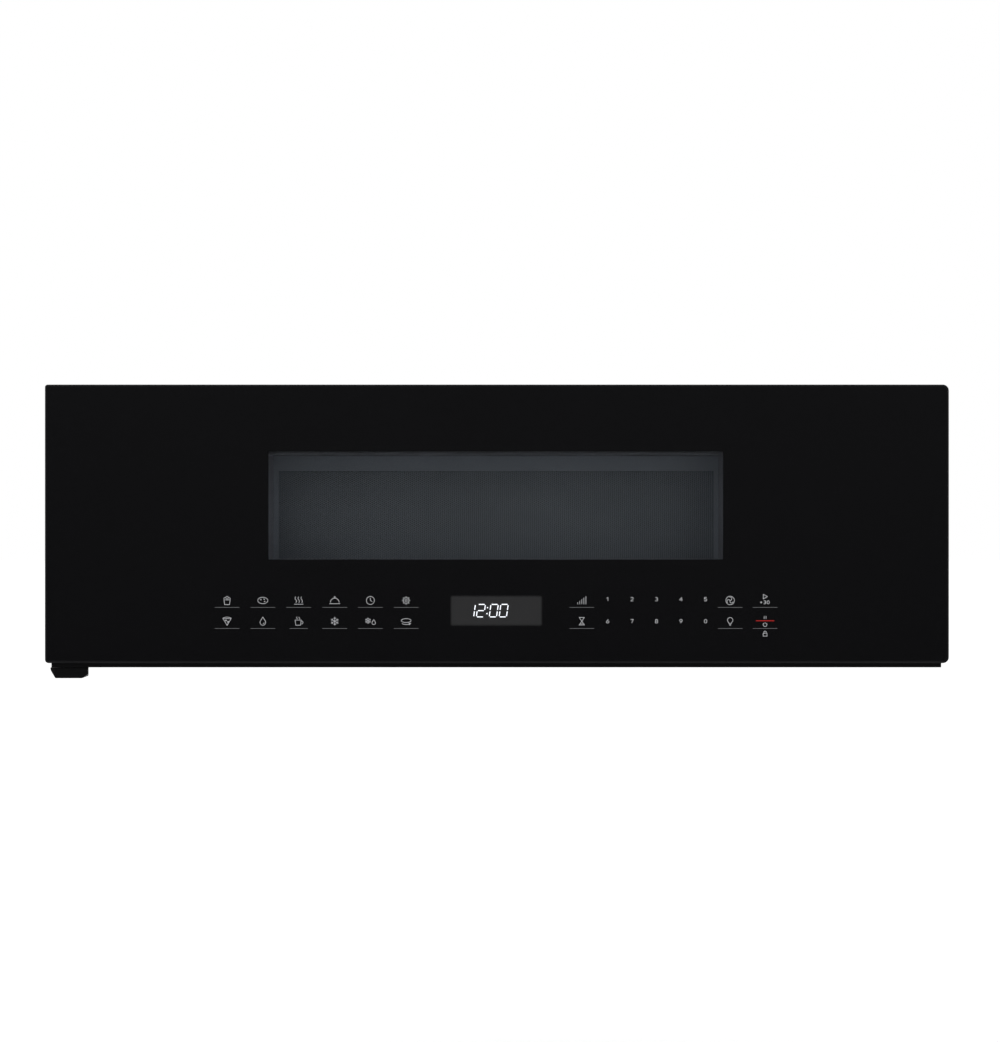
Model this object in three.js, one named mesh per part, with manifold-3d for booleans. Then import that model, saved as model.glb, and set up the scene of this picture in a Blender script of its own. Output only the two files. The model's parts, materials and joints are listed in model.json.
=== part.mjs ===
// Low-profile over the range microwave with a full-width black glass door.
//
// Millimetres, +Z up. The front faces -Y and +X is to the right as seen from the front. The origin is the
// middle of the back plate's rear face, the face that hangs against the wall.

import * as THREE from 'three';
import { mergeVertices } from 'three/addons/utils/BufferGeometryUtils.js';
import Module from 'manifold-3d';

const wasm = await Module();
wasm.setup();

// ---------------------------------------------------------------- driving dimensions

const GAP = 0.3;                      // running gap between pieces that touch
const SHEET = 0.8;                    // folded sheet steel
const CABINET = { width: 747, height: 235.3, depth: 414, topRadius: 4 };
const DOOR = {
  width: 758.8, height: 233.9, thickness: 47, glass: 4, gap: 3, aboveCabinetBottom: 2.9, inset: 1.5,
    wall: 2.5,
};
const GLASS_RADII = { topLeft: 2.3, topRight: 5, bottomLeft: 3.1, bottomRight: 5 };
const WINDOW = { left: -192, right: 190.1, bottom: 87, top: 177.8 };
const DISPLAY = { x: -0.5, z: 44.1, width: 78.1, height: 26.4 };
const TOUCH_BOARD = { width: 500, bottom: 12, top: 66, thickness: 1.6 };
const CHOKE = { width: 26, depth: 20, lip: 15, slot: 5, pitch: 34 };
const FINGER_RECESS = { bottom: 25, top: 205, depth: 22.9, width: 22.2 };
const HINGE = { x: -369.4, intoDoor: 16, pinRadius: 3, armThickness: 3, bossRadius: 7 };
const FOOT = { left: -376.2, right: -344.4, top: 4, drop: 12.9, front: -42, back: -6, taper: 6.5 };
const SKIRT = { left: -374.5, right: 373.5, drop: 3.7 };
const LATCH = { x: 268, width: 8, hooks: [78, 155], lift: 4 };
const OVEN = { width: 520, height: 165, depth: 306, x: -25, floor: 35.65, wall: 1, radius: 14, rim: 1.5 };
const TURNTABLE = { dishRadius: 122, dishDrop: 2.5, trayRadius: 145, trackRadius: 94, rollerRadius: 8 };
const BLOWER = { x: -25, y: -54, z: 176.6, wheelRadius: 38, wheelWidth: 64, blades: 20, firstRadius: 41,
  lastRadius: 56 };
const COOLING_FAN = { x: 303, y: -72, z: 120, radius: 45, blades: 5 };
const FILTER = { x: 200, y: -232, length: 200, width: 128, thickness: 9, overlap: 6, slide: 12.5 };
const LAMP = { x: 48, y: -345, length: 56, width: 36 };
const GRILLE = { width: 500, height: 22, bottom: 208, louvres: 3, ribs: 5 };
const EXHAUST = { width: 254, depth: 83, y: -58 };

const FRONT = -CABINET.depth;
const BOTTOM = -CABINET.height / 2;
const INNER_HALF = CABINET.width / 2 - SHEET - GAP;
const INNER_TOP = CABINET.height - SHEET - GAP;

// ---------------------------------------------------------------- solids and outlines

/** A closed three.js geometry as a solid that can be cut and joined. */
function solid(geometry) {
  const bare = geometry.clone();
  bare.deleteAttribute('normal');
  bare.deleteAttribute('uv');
  const merged = mergeVertices(bare, 1e-4);
  const corners = merged.index.array;
  const triangles = [];
  for (let i = 0; i < corners.length; i += 3) {
    const [a, b, c] = [corners[i], corners[i + 1], corners[i + 2]];
    if (a !== b && b !== c && c !== a) triangles.push(a, b, c);
  }
  return new wasm.Manifold(new wasm.Mesh({
    numProp: 3,
    vertProperties: new Float32Array(merged.attributes.position.array),
    triVerts: new Uint32Array(triangles),
  }));
}

/** All the solids of a list joined into one. */
function join(...solids) {
  return solids.flat().reduce((whole, piece) => whole.add(piece));
}

/** The first solid with all the others cut out of it. */
function cut(body, ...tools) {
  return tools.flat().reduce((rest, tool) => rest.subtract(tool), body);
}

/** A rectangular block between two limits on each axis. */
function block(x, y, z) {
  const geometry = new THREE.BoxGeometry(x[1] - x[0], y[1] - y[0], z[1] - z[0]);
  geometry.translate((x[0] + x[1]) / 2, (y[0] + y[1]) / 2, (z[0] + z[1]) / 2);
  return solid(geometry);
}

// The axes that a flat outline's u and v, and its thickness, take in each plane.
const PLANES = {
  xz: [new THREE.Vector3(1, 0, 0), new THREE.Vector3(0, 0, 1), new THREE.Vector3(0, -1, 0)],
  yz: [new THREE.Vector3(0, 1, 0), new THREE.Vector3(0, 0, 1), new THREE.Vector3(1, 0, 0)],
  xy: [new THREE.Vector3(1, 0, 0), new THREE.Vector3(0, 1, 0), new THREE.Vector3(0, 0, 1)],
};

/** A flat outline in a plane, thickened from one place to another along the axis across that plane. */
function extrude(shape, plane, [from, to], options = {}) {
  const bevel = options.bevel ?? 0;
  const geometry = new THREE.ExtrudeGeometry(shape, {
    depth: to - from - 2 * bevel,
    bevelEnabled: bevel > 0,
    bevelThickness: bevel,
    bevelSize: bevel,
    bevelOffset: -bevel,
    bevelSegments: options.bevelSegments ?? 1,
  });
  geometry.translate(0, 0, bevel);
  geometry.applyMatrix4(new THREE.Matrix4().makeBasis(...PLANES[plane]));
  const start = plane === 'xz' ? to : from;
  const along = plane === 'xz' ? 'y' : plane === 'yz' ? 'x' : 'z';
  geometry.translate(along === 'x' ? start : 0, along === 'y' ? start : 0, along === 'z' ? start : 0);
  return solid(geometry);
}

/** How many straight facets stand for a quarter turn of a corner. */
function cornerFacets(radius) {
  if (radius >= 9) return 3;
  return radius > 3 ? 2 : 1;
}

/** A rectangle with one corner radius, or with its own radius at each corner. */
function rectangle([u0, u1], [v0, v1], radius = 0, facets = cornerFacets(radius)) {
  const same = { topLeft: radius, topRight: radius, bottomLeft: radius, bottomRight: radius };
  const radii = typeof radius === 'number' ? same : radius;
  const corners = [[u1, v0, -1, 1, radii.bottomRight], [u1, v1, -1, -1, radii.topRight],
    [u0, v1, 1, -1, radii.topLeft], [u0, v0, 1, 1, radii.bottomLeft]];
  return polygon(corners.flatMap(([u, v, towardsU, towardsV, r], corner) => {
    if (r <= 0) return [[u, v]];
    const start = (corner - 1) * Math.PI / 2;
    return Array.from({ length: facets + 1 }, (_, i) => {
      const angle = start + (Math.PI / 2) * (i / facets);
      return [u + towardsU * r + r * Math.cos(angle), v + towardsV * r + r * Math.sin(angle)];
    });
  }));
}

/** A closed outline through corner points. */
function polygon(points) {
  return new THREE.Shape(points.map(([u, v]) => new THREE.Vector2(u, v)));
}

/** A regular outline round a centre. */
function circle(u, v, radius, sides) {
  return polygon(Array.from({ length: sides }, (_, i) => {
    const angle = 2 * Math.PI * (i + 0.5) / sides;
    return [u + radius * Math.cos(angle), v + radius * Math.sin(angle)];
  }));
}

/** A round bar along an axis. The centre is given in the two other axes, in the order of PLANES. */
function rod(plane, [u, v], radius, span, sides = 12) {
  return extrude(circle(u, v, radius, sides), plane, span);
}

/** A ring along an axis. */
function ring(plane, centre, outer, inner, span, sides = 24) {
  return cut(rod(plane, centre, outer, span, sides),
    rod(plane, centre, inner, [span[0] - 1, span[1] + 1], sides));
}

/** A solid turned about the Z axis. Its profile of radius and height runs outwards along the bottom first. */
function revolve(profile, sides) {
  const points = profile.map(([r, z]) => new THREE.Vector2(r, z));
  const geometry = new THREE.LatheGeometry(points, sides);
  geometry.rotateX(Math.PI / 2);
  return solid(geometry);
}

/** A solid turned about the Z axis by an angle in degrees. */
function turned(body, degrees) {
  return body.rotate([0, 0, degrees]);
}

/** The same solid at several places. */
function pattern(places, make) {
  return places.map((place) => make(place));
}

/** Evenly spread values between two limits, both included. */
function spread(from, to, count) {
  return Array.from({ length: count }, (_, i) => from + (to - from) * i / (count - 1));
}

// ---------------------------------------------------------------- finishes

function finish(color, roughness, metalness) {
  return new THREE.MeshStandardMaterial({ color, roughness, metalness });
}

const FINISH = {
  blackGlass: finish(0x131315, 0.08, 0),
  clearGlass: finish(0xcfd6d6, 0.05, 0),
  blackPaint: finish(0x16161a, 0.45, 0.2),
  blackPlastic: finish(0x1a1a1c, 0.55, 0),
  whitePlastic: finish(0xd8d8d2, 0.5, 0),
  enamel: finish(0x8b8f92, 0.4, 0.1),
  galvanised: finish(0xa9adb0, 0.4, 0.9),
  darkScreen: finish(0x35393c, 0.5, 0.4),
  aluminium: finish(0xbfc2c4, 0.4, 0.9),
  copper: finish(0xa65a2e, 0.35, 0.9),
  board: finish(0x2f6b45, 0.6, 0),
  mica: finish(0xb9a98a, 0.7, 0),
  carbon: finish(0x222222, 0.9, 0),
  spring: finish(0x9a9da0, 0.3, 0.9),
};

// ---------------------------------------------------------------- scene graph

const microwave = new THREE.Group();
const cabinet = new THREE.Group();
cabinet.position.set(0, 0, BOTTOM);
microwave.add(cabinet);

const oven = new THREE.Group();
oven.position.set(OVEN.x, FRONT + 2.3, OVEN.floor);
cabinet.add(oven);

const turntable = new THREE.Group();
turntable.position.set(0, OVEN.depth / 2, -TURNTABLE.dishDrop);
oven.add(turntable);

// The doorway holds the fixed pieces that meet the door, in the closed door's frame.
const doorway = new THREE.Group();
doorway.position.set(0, FRONT - DOOR.gap, DOOR.aboveCabinetBottom);
cabinet.add(doorway);

const door = new THREE.Group();
doorway.add(door);

const blower = new THREE.Group();
blower.position.set(BLOWER.x, BLOWER.y, BLOWER.z);
cabinet.add(blower);

/** Puts a solid into a group as a named piece. */
function add(group, name, body, material) {
  const data = body.getMesh();
  const geometry = new THREE.BufferGeometry();
  geometry.setAttribute('position', new THREE.BufferAttribute(new Float32Array(data.vertProperties), 3));
  geometry.setIndex(new THREE.BufferAttribute(new Uint32Array(data.triVerts), 1));
  geometry.computeVertexNormals();
  const mesh = new THREE.Mesh(geometry, material);
  mesh.name = name;
  group.add(mesh);
}

// ---------------------------------------------------------------- cabinet (z from its bottom edge)

function outerCover() {
  const half = CABINET.width / 2;
  const top = CABINET.height;
  const outside = rectangle([-half, half], [-20, top], CABINET.topRadius);
  const inside = rectangle([-half + SHEET, half - SHEET], [-40, top - SHEET], CABINET.topRadius - SHEET);
  const sleeve = cut(extrude(outside, 'xz', [FRONT, -1.8]), extrude(inside, 'xz', [FRONT - 1, 0]),
    block([-half - 1, half + 1], [FRONT - 1, 0], [-21, 0]));
  const exhaust = extrude(rectangle([-EXHAUST.width / 2, EXHAUST.width / 2],
    [EXHAUST.y - EXHAUST.depth / 2, EXHAUST.y + EXHAUST.depth / 2], 6), 'xy', [top - 5, top + 5]);
  return cut(sleeve, exhaust);
}

function exhaustCoverPlate() {
  const half = EXHAUST.width / 2 + 8;
  const reach = EXHAUST.depth / 2 + 3;
  const under = INNER_TOP;
  const plate = extrude(rectangle([-half, half], [EXHAUST.y - reach, EXHAUST.y + reach], 4), 'xy',
    [under - 1, under]);
  const raised = extrude(
    rectangle([-half + 12, half - 12], [EXHAUST.y - reach + 8, EXHAUST.y + reach - 8], 4),
    'xy', [under - 0.5, under + SHEET]);
  return join(plate, raised);
}

function backPlate() {
  const top = CABINET.height - SHEET - GAP;
  const thick = 1.2;
  const outline = rectangle([-INNER_HALF, INNER_HALF], [0, top], 5);
  const plate = extrude(outline, 'xz', [-thick, 0]);
  const flange = cut(extrude(outline, 'xz', [-12, -thick / 2]),
    extrude(rectangle([-INNER_HALF + 1, INNER_HALF - 1], [1, top - 1], 4), 'xz', [-13, -thick]));
  const hookSlots = pattern([-250, 250], (x) => extrude(rectangle([x - 32, x + 32], [14, 24], 3), 'xz',
    [-2, 1]));
  const recesses = pattern([-205, 205], (x) => block([x - 110, x + 110], [-0.5, 1], [60, 130]));
  return cut(join(plate, flange), hookSlots, recesses);
}

function basePlate() {
  const front = FRONT + 1.6;
  const back = -12.6;
  const pan = extrude(rectangle([-INNER_HALF, INNER_HALF], [front, back], 2), 'xy', [0, 1]);
  const wall = cut(extrude(rectangle([-INNER_HALF, INNER_HALF], [front, back], 2), 'xy', [0, 11]),
    extrude(rectangle([-INNER_HALF + 1, INNER_HALF - 1], [front + 1, back - 1], 2), 'xy', [-1, 12]));
  const openings = [];
  const rails = [];
  for (const side of [-1, 1]) {
    const x = side * FILTER.x;
    const half = FILTER.length / 2 - FILTER.overlap;
    const reach = FILTER.width / 2 - FILTER.overlap;
    openings.push(extrude(rectangle([x - half, x + half], [FILTER.y - reach, FILTER.y + reach], 3), 'xy',
      [-1, 2]));
    for (const edge of [-1, 1]) {
      const inner = FILTER.y + edge * (FILTER.width / 2 + GAP);
      const upright = [inner, inner + edge * 1].sort((a, b) => a - b);
      const lip = [inner - edge * 5, inner + edge * 1].sort((a, b) => a - b);
      const length = [x - FILTER.length / 2 - 4, x + FILTER.length / 2 + 4];
      rails.push(block(length, upright, [0.5, 1 + FILTER.thickness + 2 * GAP + 1]));
      rails.push(block(length, lip, [1 + FILTER.thickness + 2 * GAP, 2 + FILTER.thickness + 2 * GAP]));
    }
    openings.push(extrude(rectangle([side * LAMP.x - 25, side * LAMP.x + 25], [LAMP.y - 15, LAMP.y + 15], 4),
      'xy', [-1, 2]));
  }
  const intake = pattern(spread(255, 355, 9), (x) =>
    extrude(rectangle([x - 2.5, x + 2.5], [-140, -60], 2), 'xy', [-1, 2]));
  return cut(join(pan, wall, rails), openings, intake);
}

function frontFrame() {
  const bottom = 0;
  const plate = extrude(rectangle([-INNER_HALF, INNER_HALF], [bottom, INNER_TOP], 3), 'xz',
    [FRONT, FRONT + 1]);
  const sides = pattern([-1, 1], (side) => {
    const span = [side * INNER_HALF, side * (INNER_HALF - 1)].sort((a, b) => a - b);
    return block(span, [FRONT + 0.5, FRONT + 13], [16, INNER_TOP - 3]);
  });
  const topReturn = block([-INNER_HALF + 3, INNER_HALF - 3], [FRONT + 0.5, FRONT + 13],
    [INNER_TOP - 1, INNER_TOP]);
  const mouth = extrude(frameOpening(), 'xz', [FRONT - 1, FRONT + 2]);
  const grille = extrude(rectangle([-GRILLE.width / 2, GRILLE.width / 2],
    [GRILLE.bottom, GRILLE.bottom + GRILLE.height], 2), 'xz', [FRONT - 1, FRONT + 2]);
  const latchSlots = pattern(LATCH.hooks, (z) => {
    const centre = z + DOOR.aboveCabinetBottom;
    return extrude(rectangle([LATCH.x - 7, LATCH.x + 7], [centre - 11, centre + 12], 2), 'xz',
      [FRONT - 1, FRONT + 2]);
  });
  const armHeight = upperArmHeight() + DOOR.aboveCabinetBottom;
  const armSlot = block([-374, -350], [FRONT - 1, FRONT + 14],
    [armHeight - 1, armHeight + HINGE.armThickness + 1]);
  const harnessHole = rod('xz', [-356, 40], 6, [FRONT - 1, FRONT + 2], 12);
  return cut(join(plate, sides, topReturn), mouth, grille, latchSlots, armSlot, harnessHole);
}

/** The front frame's opening, a little wider than the chamber's mouth, so that the flange's rim shows. */
function frameOpening() {
  const half = OVEN.width / 2 + OVEN.rim;
  return rectangle([OVEN.x - half, OVEN.x + half],
    [OVEN.floor - OVEN.rim, OVEN.floor + OVEN.height + OVEN.rim], 1);
}

function ventGrille() {
  const outerX = GRILLE.width / 2 + 5;
  const flange = extrude(rectangle([-outerX, outerX],
    [GRILLE.bottom - 1.5, GRILLE.bottom + GRILLE.height + 1.5], 2),
    'xz', [FRONT - 1.5, FRONT - GAP]);
  const innerX = GRILLE.width / 2 - GAP;
  const [low, high] = [GRILLE.bottom + GAP, GRILLE.bottom + GRILLE.height - GAP];
  const body = extrude(rectangle([-innerX, innerX], [low, high], 1.5), 'xz', [FRONT - 1, FRONT + 11]);
  const throat = extrude(rectangle([-innerX + 2, innerX - 2], [low + 1.8, high - 1.8], 1), 'xz',
    [FRONT - 3, FRONT + 12]);
  const shell = cut(join(flange, body), throat);
  const louvres = pattern(spread(low + 5, high - 7, GRILLE.louvres), (z) => extrude(
    polygon([[FRONT - 1, z - 2.6], [FRONT + 9, z + 2.4], [FRONT + 9, z + 3.6], [FRONT - 1, z - 1.4]]),
    'yz', [-innerX + 1, innerX - 1]));
  const ribs = pattern(spread(-innerX + 50, innerX - 50, GRILLE.ribs), (x) => block([x - 0.8, x + 0.8],
    [FRONT + 2, FRONT + 9], [low + 1, high - 1]));
  return join(shell, louvres, ribs);
}

function charcoalFilter() {
  const half = GRILLE.width / 2 - 8;
  const [low, high] = [GRILLE.bottom + 1, GRILLE.bottom + GRILLE.height - 1];
  const front = FRONT + 14;
  const frame = cut(extrude(rectangle([-half, half], [low, high], 2), 'xz', [front, front + 12]),
    extrude(rectangle([-half + 3, half - 3], [low + 3, high - 3], 1), 'xz', [front - 1, front + 3]));
  const bars = pattern(spread(-half + 60, half - 60, 7),
    (x) => block([x - 1, x + 1], [front + 0.5, front + 4],
    [low + 1, high - 1]));
  return join(frame, bars);
}

function cordGrommet() {
  const profile = [[6, -4], [11, -4], [11, -1.1], [9.2, -1.1], [9.2, 0.3], [11, 0.3], [11, 1.4], [6, 1.4],
    [6, -4]];
  return revolve(profile, 14);
}

add(cabinet, 'outer_cover', cut(outerCover(), rod('xy', [300, -52], 9.6,
  [CABINET.height - 5, CABINET.height + 5], 14)), FINISH.blackPaint);
add(cabinet, 'exhaust_cover_plate', exhaustCoverPlate(), FINISH.galvanised);
add(cabinet, 'back_plate', backPlate(), FINISH.galvanised);
add(cabinet, 'base_plate', basePlate(), FINISH.blackPaint);
add(cabinet, 'front_frame', frontFrame(), FINISH.blackPaint);
add(cabinet, 'vent_grille', ventGrille(), FINISH.blackPlastic);
add(cabinet, 'charcoal_filter', charcoalFilter(), FINISH.carbon);
add(cabinet, 'cord_grommet', cordGrommet().translate([300, -52, CABINET.height]), FINISH.blackPlastic);

// ---------------------------------------------------------------- cooking chamber (z from its floor)

const PORT = { y: [172, 252], z: [84, 134] };

/** The chamber's rounded box, grown by a margin, with a rounded back. */
function chamber(margin, start) {
  const half = OVEN.width / 2 + margin;
  return extrude(rectangle([-half, half], [-margin, OVEN.height + margin], OVEN.radius + margin), 'xz',
    [start, OVEN.depth + margin], { bevel: 8 });
}

function ovenCavity() {
  const dish = (extra) => revolve([[0, -TURNTABLE.dishDrop - extra],
    [TURNTABLE.dishRadius + extra, -TURNTABLE.dishDrop - extra],
    [TURNTABLE.dishRadius + 6 + extra, 1 + extra], [0, 1 + extra]], 28)
    .translate([0, OVEN.depth / 2, 0]);
  const outside = join(cut(chamber(OVEN.wall, -30), block([-400, 400], [-40, 0], [-50, 300])),
    cut(dish(OVEN.wall), block([-400, 400], [-40, 400], [0.5, 10])));
  const flangeHalf = OVEN.width / 2 + 15;
  const flange = extrude(rectangle([-flangeHalf, flangeHalf], [-15, OVEN.height + 4.5], 6), 'xz',
    [-GAP - 0.7, 0.3]);
  const inside = join(chamber(0, -30), dish(0));
  const driveHole = rod('xy', [0, OVEN.depth / 2], 8, [-10, 2], 16);
  const port = block([OVEN.width / 2 - 5, OVEN.width / 2 + 5], PORT.y, PORT.z);
  const airHoles = holeGrid('yz', spread(50, 83, 4), spread(94, 116, 3),
    [OVEN.width / 2 - 5, OVEN.width / 2 + 5]);
  const lampHoles = holeGrid('yz', spread(120, 148, 3), spread(120, 136, 2),
    [-OVEN.width / 2 - 5, -OVEN.width / 2 + 5]);
  return cut(join(outside, flange), inside, driveHole, port, airHoles, lampHoles);
}

/** A grid of small round holes across a wall. */
function holeGrid(plane, rows, columns, span) {
  return rows.flatMap((u) => columns.map((v) => rod(plane, [u, v], 3, span, 6)));
}

function waveguide() {
  const x = OVEN.width / 2 + OVEN.wall + GAP;
  const outer = block([x, x + 30], [PORT.y[0] - 8, PORT.y[1] + 8], [PORT.z[0] - 78, PORT.z[1] + 8]);
  const inner = block([x + 1, x + 29], [PORT.y[0] - 7, PORT.y[1] + 7], [PORT.z[0] - 77, PORT.z[1] + 7]);
  const mouth = block([x - 1, x + 2], PORT.y, PORT.z);
  const antennaHole = rod('yz', [212, 62], 11, [x + 20, x + 40], 16);
  return cut(outer, inner, mouth, antennaHole);
}

function waveguideCover() {
  const x = OVEN.width / 2 - GAP - 0.8;
  return extrude(rectangle([PORT.y[0] - 8, PORT.y[1] + 8], [PORT.z[0] - 8, PORT.z[1] + 8], 5), 'yz',
    [x, x + 0.8]);
}

function cavityLamp() {
  const x = -OVEN.width / 2 - OVEN.wall - GAP;
  const socket = extrude(rectangle([112, 158], [104, 150], 4), 'yz', [x - 2, x]);
  const body = extrude(rectangle([120, 150], [112, 144], 5), 'yz', [x - 24, x - 1]);
  const terminals = pattern([128, 142], (y) => block([x - 32, x - 22], [y - 3, y + 3], [127.6, 128.4]));
  return join(socket, body, terminals);
}

function turntableMotor() {
  const top = -OVEN.wall - GAP;
  const body = rod('xy', [0, 0], 24.5, [top - 17, top], 24);
  const ears = extrude(rectangle([-33, 33], [-6, 6], 5), 'xy', [top - 1.5, top]);
  const terminalBlock = block([-8, 8], [22, 32], [top - 15, top - 5]);
  return join(body, ears, terminalBlock);
}

add(oven, 'oven_cavity', ovenCavity(), FINISH.enamel);
add(oven, 'waveguide', waveguide(), FINISH.galvanised);
add(oven, 'waveguide_cover', waveguideCover(), FINISH.mica);
add(oven, 'cavity_lamp', cavityLamp(), FINISH.whitePlastic);
add(turntable, 'turntable_motor', turntableMotor(), FINISH.galvanised);

// ---------------------------------------------------------------- turntable (z from the dish in the floor)

function driveCoupler() {
  const stem = rod('xy', [0, 0], 6, [-OVEN.wall - GAP + 0.6, 5], 12);
  const hub = rod('xy', [0, 0], 9, [3, 15.6], 18);
  const lobes = pattern([0, 120, 240], (angle) => turned(
    extrude(rectangle([0, 20], [-4.5, 4.5], 4), 'xy', [3, 13]), angle));
  return join(stem, hub, lobes);
}

function rollerRing() {
  const { trackRadius } = TURNTABLE;
  const band = revolve([[78, 6], [86, 6], [87.5, 8.6], [86, 11.2], [78, 11.2], [78, 6]], 30);
  const axles = pattern([0, 120, 240], (angle) => turned(join(
    rod('yz', [0, 8.5], 2.2, [84, 99.5], 8),
    rod('yz', [0, 8.5], 3.4, [trackRadius + 4.2, trackRadius + 6], 8)), angle));
  return join(band, axles);
}

function roller() {
  const { trackRadius, rollerRadius } = TURNTABLE;
  const tyre = revolve([[2.6, -3.5], [rollerRadius - 0.8, -3.5], [rollerRadius, -2.4], [rollerRadius, 2.4],
    [rollerRadius - 0.8, 3.5], [2.6, 3.5], [2.6, -3.5]], 16);
  return tyre.rotate([0, 90, 0]).translate([trackRadius, 0, 8.5]);
}

function glassTray() {
  const R = TURNTABLE.trayRadius;
  const under = 16.9;
  const dish = revolve([[0, under], [R - 22, under], [R - 15, under + 1.2], [R - 3, under + 11],
    [R, under + 12.5],
    [R - 1.5, under + 16.4], [R - 6, under + 14.6], [R - 18, under + 6], [R - 24, under + 4.8],
    [0, under + 4.8]], 36);
  const lugs = pattern([60, 180, 300], (angle) => turned(
    extrude(rectangle([11, 22], [-5, 5], 3), 'xy', [7, under + 1]), angle));
  const trackLip = revolve([[99.5, under + 0.5], [99.5, under - 1.4], [102.5, under - 1.4],
    [104, under + 0.5],
    [99.5, under + 0.5]], 36);
  return join(dish, lugs, trackLip);
}

add(turntable, 'drive_coupler', driveCoupler(), FINISH.whitePlastic);
add(turntable, 'roller_ring', rollerRing(), FINISH.whitePlastic);
for (const index of [0, 1, 2]) {
  add(turntable, `roller_${index + 1}`, turned(roller(), 120 * index), FINISH.whitePlastic);
}
add(turntable, 'glass_tray', glassTray(), FINISH.clearGlass);

// ---------------------------------------------------------------- component bay (right of the chamber)

function magnetron() {
  const x = OVEN.x + OVEN.width / 2 + OVEN.wall + GAP + 30;
  const y = FRONT + 2.3 + 212;
  const z = OVEN.floor + 62;
  const antenna = rod('yz', [y, z], 7, [x - 18, x + 6], 10);
  const flange = extrude(rectangle([y - 46, y + 46], [z - 38, z + 38], 5), 'yz', [x + GAP, x + 2]);
  const yoke = cut(block([x + 1.5, x + 62], [y - 42, y + 42], [z - 34, z + 34]),
    block([x + 3, x + 60.5], [y - 50, y + 50], [z - 32.5, z + 32.5]));
  const anode = rod('yz', [y, z], 19, [x + 1, x + 61], 12);
  const fins = pattern(spread(x + 12, x + 52, 5), (at) => block([at - 0.4, at + 0.4], [y - 38, y + 38],
    [z - 33, z + 33]));
  const filterBox = extrude(rectangle([y - 30, y + 30], [z - 24, z + 24], 3), 'yz', [x + 61, x + 88]);
  const terminals = block([x + 68, x + 82], [y + 29, y + 40], [z - 10, z + 10]);
  return join(antenna, flange, yoke, anode, fins, filterBox, terminals);
}

function highVoltageTransformer() {
  const [x, y, z] = [316, -340, 2];
  const core = extrude(rectangle([x - 42, x + 42], [z + 1, z + 74], 3), 'xz', [y - 30, y + 30]);
  const windings = pattern([-1, 1], (side) => extrude(
    rectangle([x - 22, x + 22], [z + 18, z + 60], 10), 'xz',
    [y + (side < 0 ? -48 : 28), y + (side < 0 ? -28 : 48)]));
  const base = extrude(rectangle([x - 54, x + 54], [y - 38, y + 38], 4), 'xy', [z - 0.6, z + 1.4]);
  const tabs = pattern([-12, 12], (at) => block([x + at - 3, x + at + 3], [y - 58, y - 46],
    [z + 50, z + 51]));
  return join(core, windings, base, tabs);
}

function highVoltageCapacitor() {
  const [x, y] = [342, -270];
  const can = extrude(rectangle([x - 27, x + 27], [y - 17, y + 17], 16.5), 'xy', [1.4, 92]);
  const strap = extrude(rectangle([x - 28, x + 28], [y - 18, y + 18], 17), 'xy', [30, 42]);
  const foot = block([x - 28, x + 28], [y - 9, y + 9], [1.3, 3.3]);
  const tabs = pattern([-10, 10], (at) => block([x + at - 3, x + at + 3], [y - 0.5, y + 0.5], [91, 103]));
  return join(can, strap, foot, tabs);
}

function highVoltageDiode() {
  const [x, y] = [347, -206];
  const body = extrude(rectangle([x - 12, x + 12], [2, 11], 3), 'xz', [y - 4, y + 4]);
  const leads = pattern([-1, 1], (side) => rod('yz', [y, 6.5], 0.9,
    side < 0 ? [x - 26, x - 11] : [x + 11, x + 18], 6));
  const lug = ring('xz', [x - 28, 6.5], 4, 1.8, [y - 0.6, y + 0.6], 12);
  return join(body, leads, lug);
}

function noiseFilterBoard() {
  const [x, y] = [338, -28];
  const board = block([x - 28, x + 28], [y - 4, y - 2.4], [188, 230]);
  const coil = ring('xz', [x, 210], 12, 6, [y - 16, y - 3], 12);
  const parts = [[-20, 202, 11, 18, 12], [20, 205, 11, 14, 14]];
  const blocks = pattern(parts, ([at, z, width, height, depth]) => extrude(
    rectangle([x + at - width / 2, x + at + width / 2], [z - height / 2, z + height / 2], 2), 'xz',
    [y - 3 - depth, y - 3]));
  const posts = pattern([[-24, 192], [24, 192], [-24, 226], [24, 226]],
    ([at, z]) => rod('xz', [x + at, z], 2.5, [y - 3, -1.6], 6));
  return join(board, coil, blocks, posts);
}

const POWER_BOARD = { x: [287, 366], y: [-404, -268], z: 150 };

function powerBoardTray() {
  const { x, y, z } = POWER_BOARD;
  const floor = extrude(rectangle([x[0] - 2, x[1] + 2], [y[0] - 2, y[1] + 2], 4), 'xy', [z - 8, z - 6]);
  const rim = cut(extrude(rectangle([x[0] - 2, x[1] + 2], [y[0] - 2, y[1] + 2], 4), 'xy', [z - 8, z + 4]),
    block([x[0] - 0.5, x[1] + 0.5], [y[0] - 0.5, y[1] + 0.5], [z - 9, z + 5]));
  const posts = pattern([[x[0] + 5, y[0] + 5], [x[1] - 5, y[0] + 5], [x[0] + 5, y[1] - 5],
    [x[1] - 5, y[1] - 5]],
    (place) => rod('xy', place, 3, [z - 7, z - GAP], 8));
  const legs = pattern([y[0] + 10, y[1] - 25], (at) =>
    block([x[1] - 4, x[1] + 2], [at - 6, at + 6], [1.3, z - 7]));
  return join(floor, rim, posts, legs);
}

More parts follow.
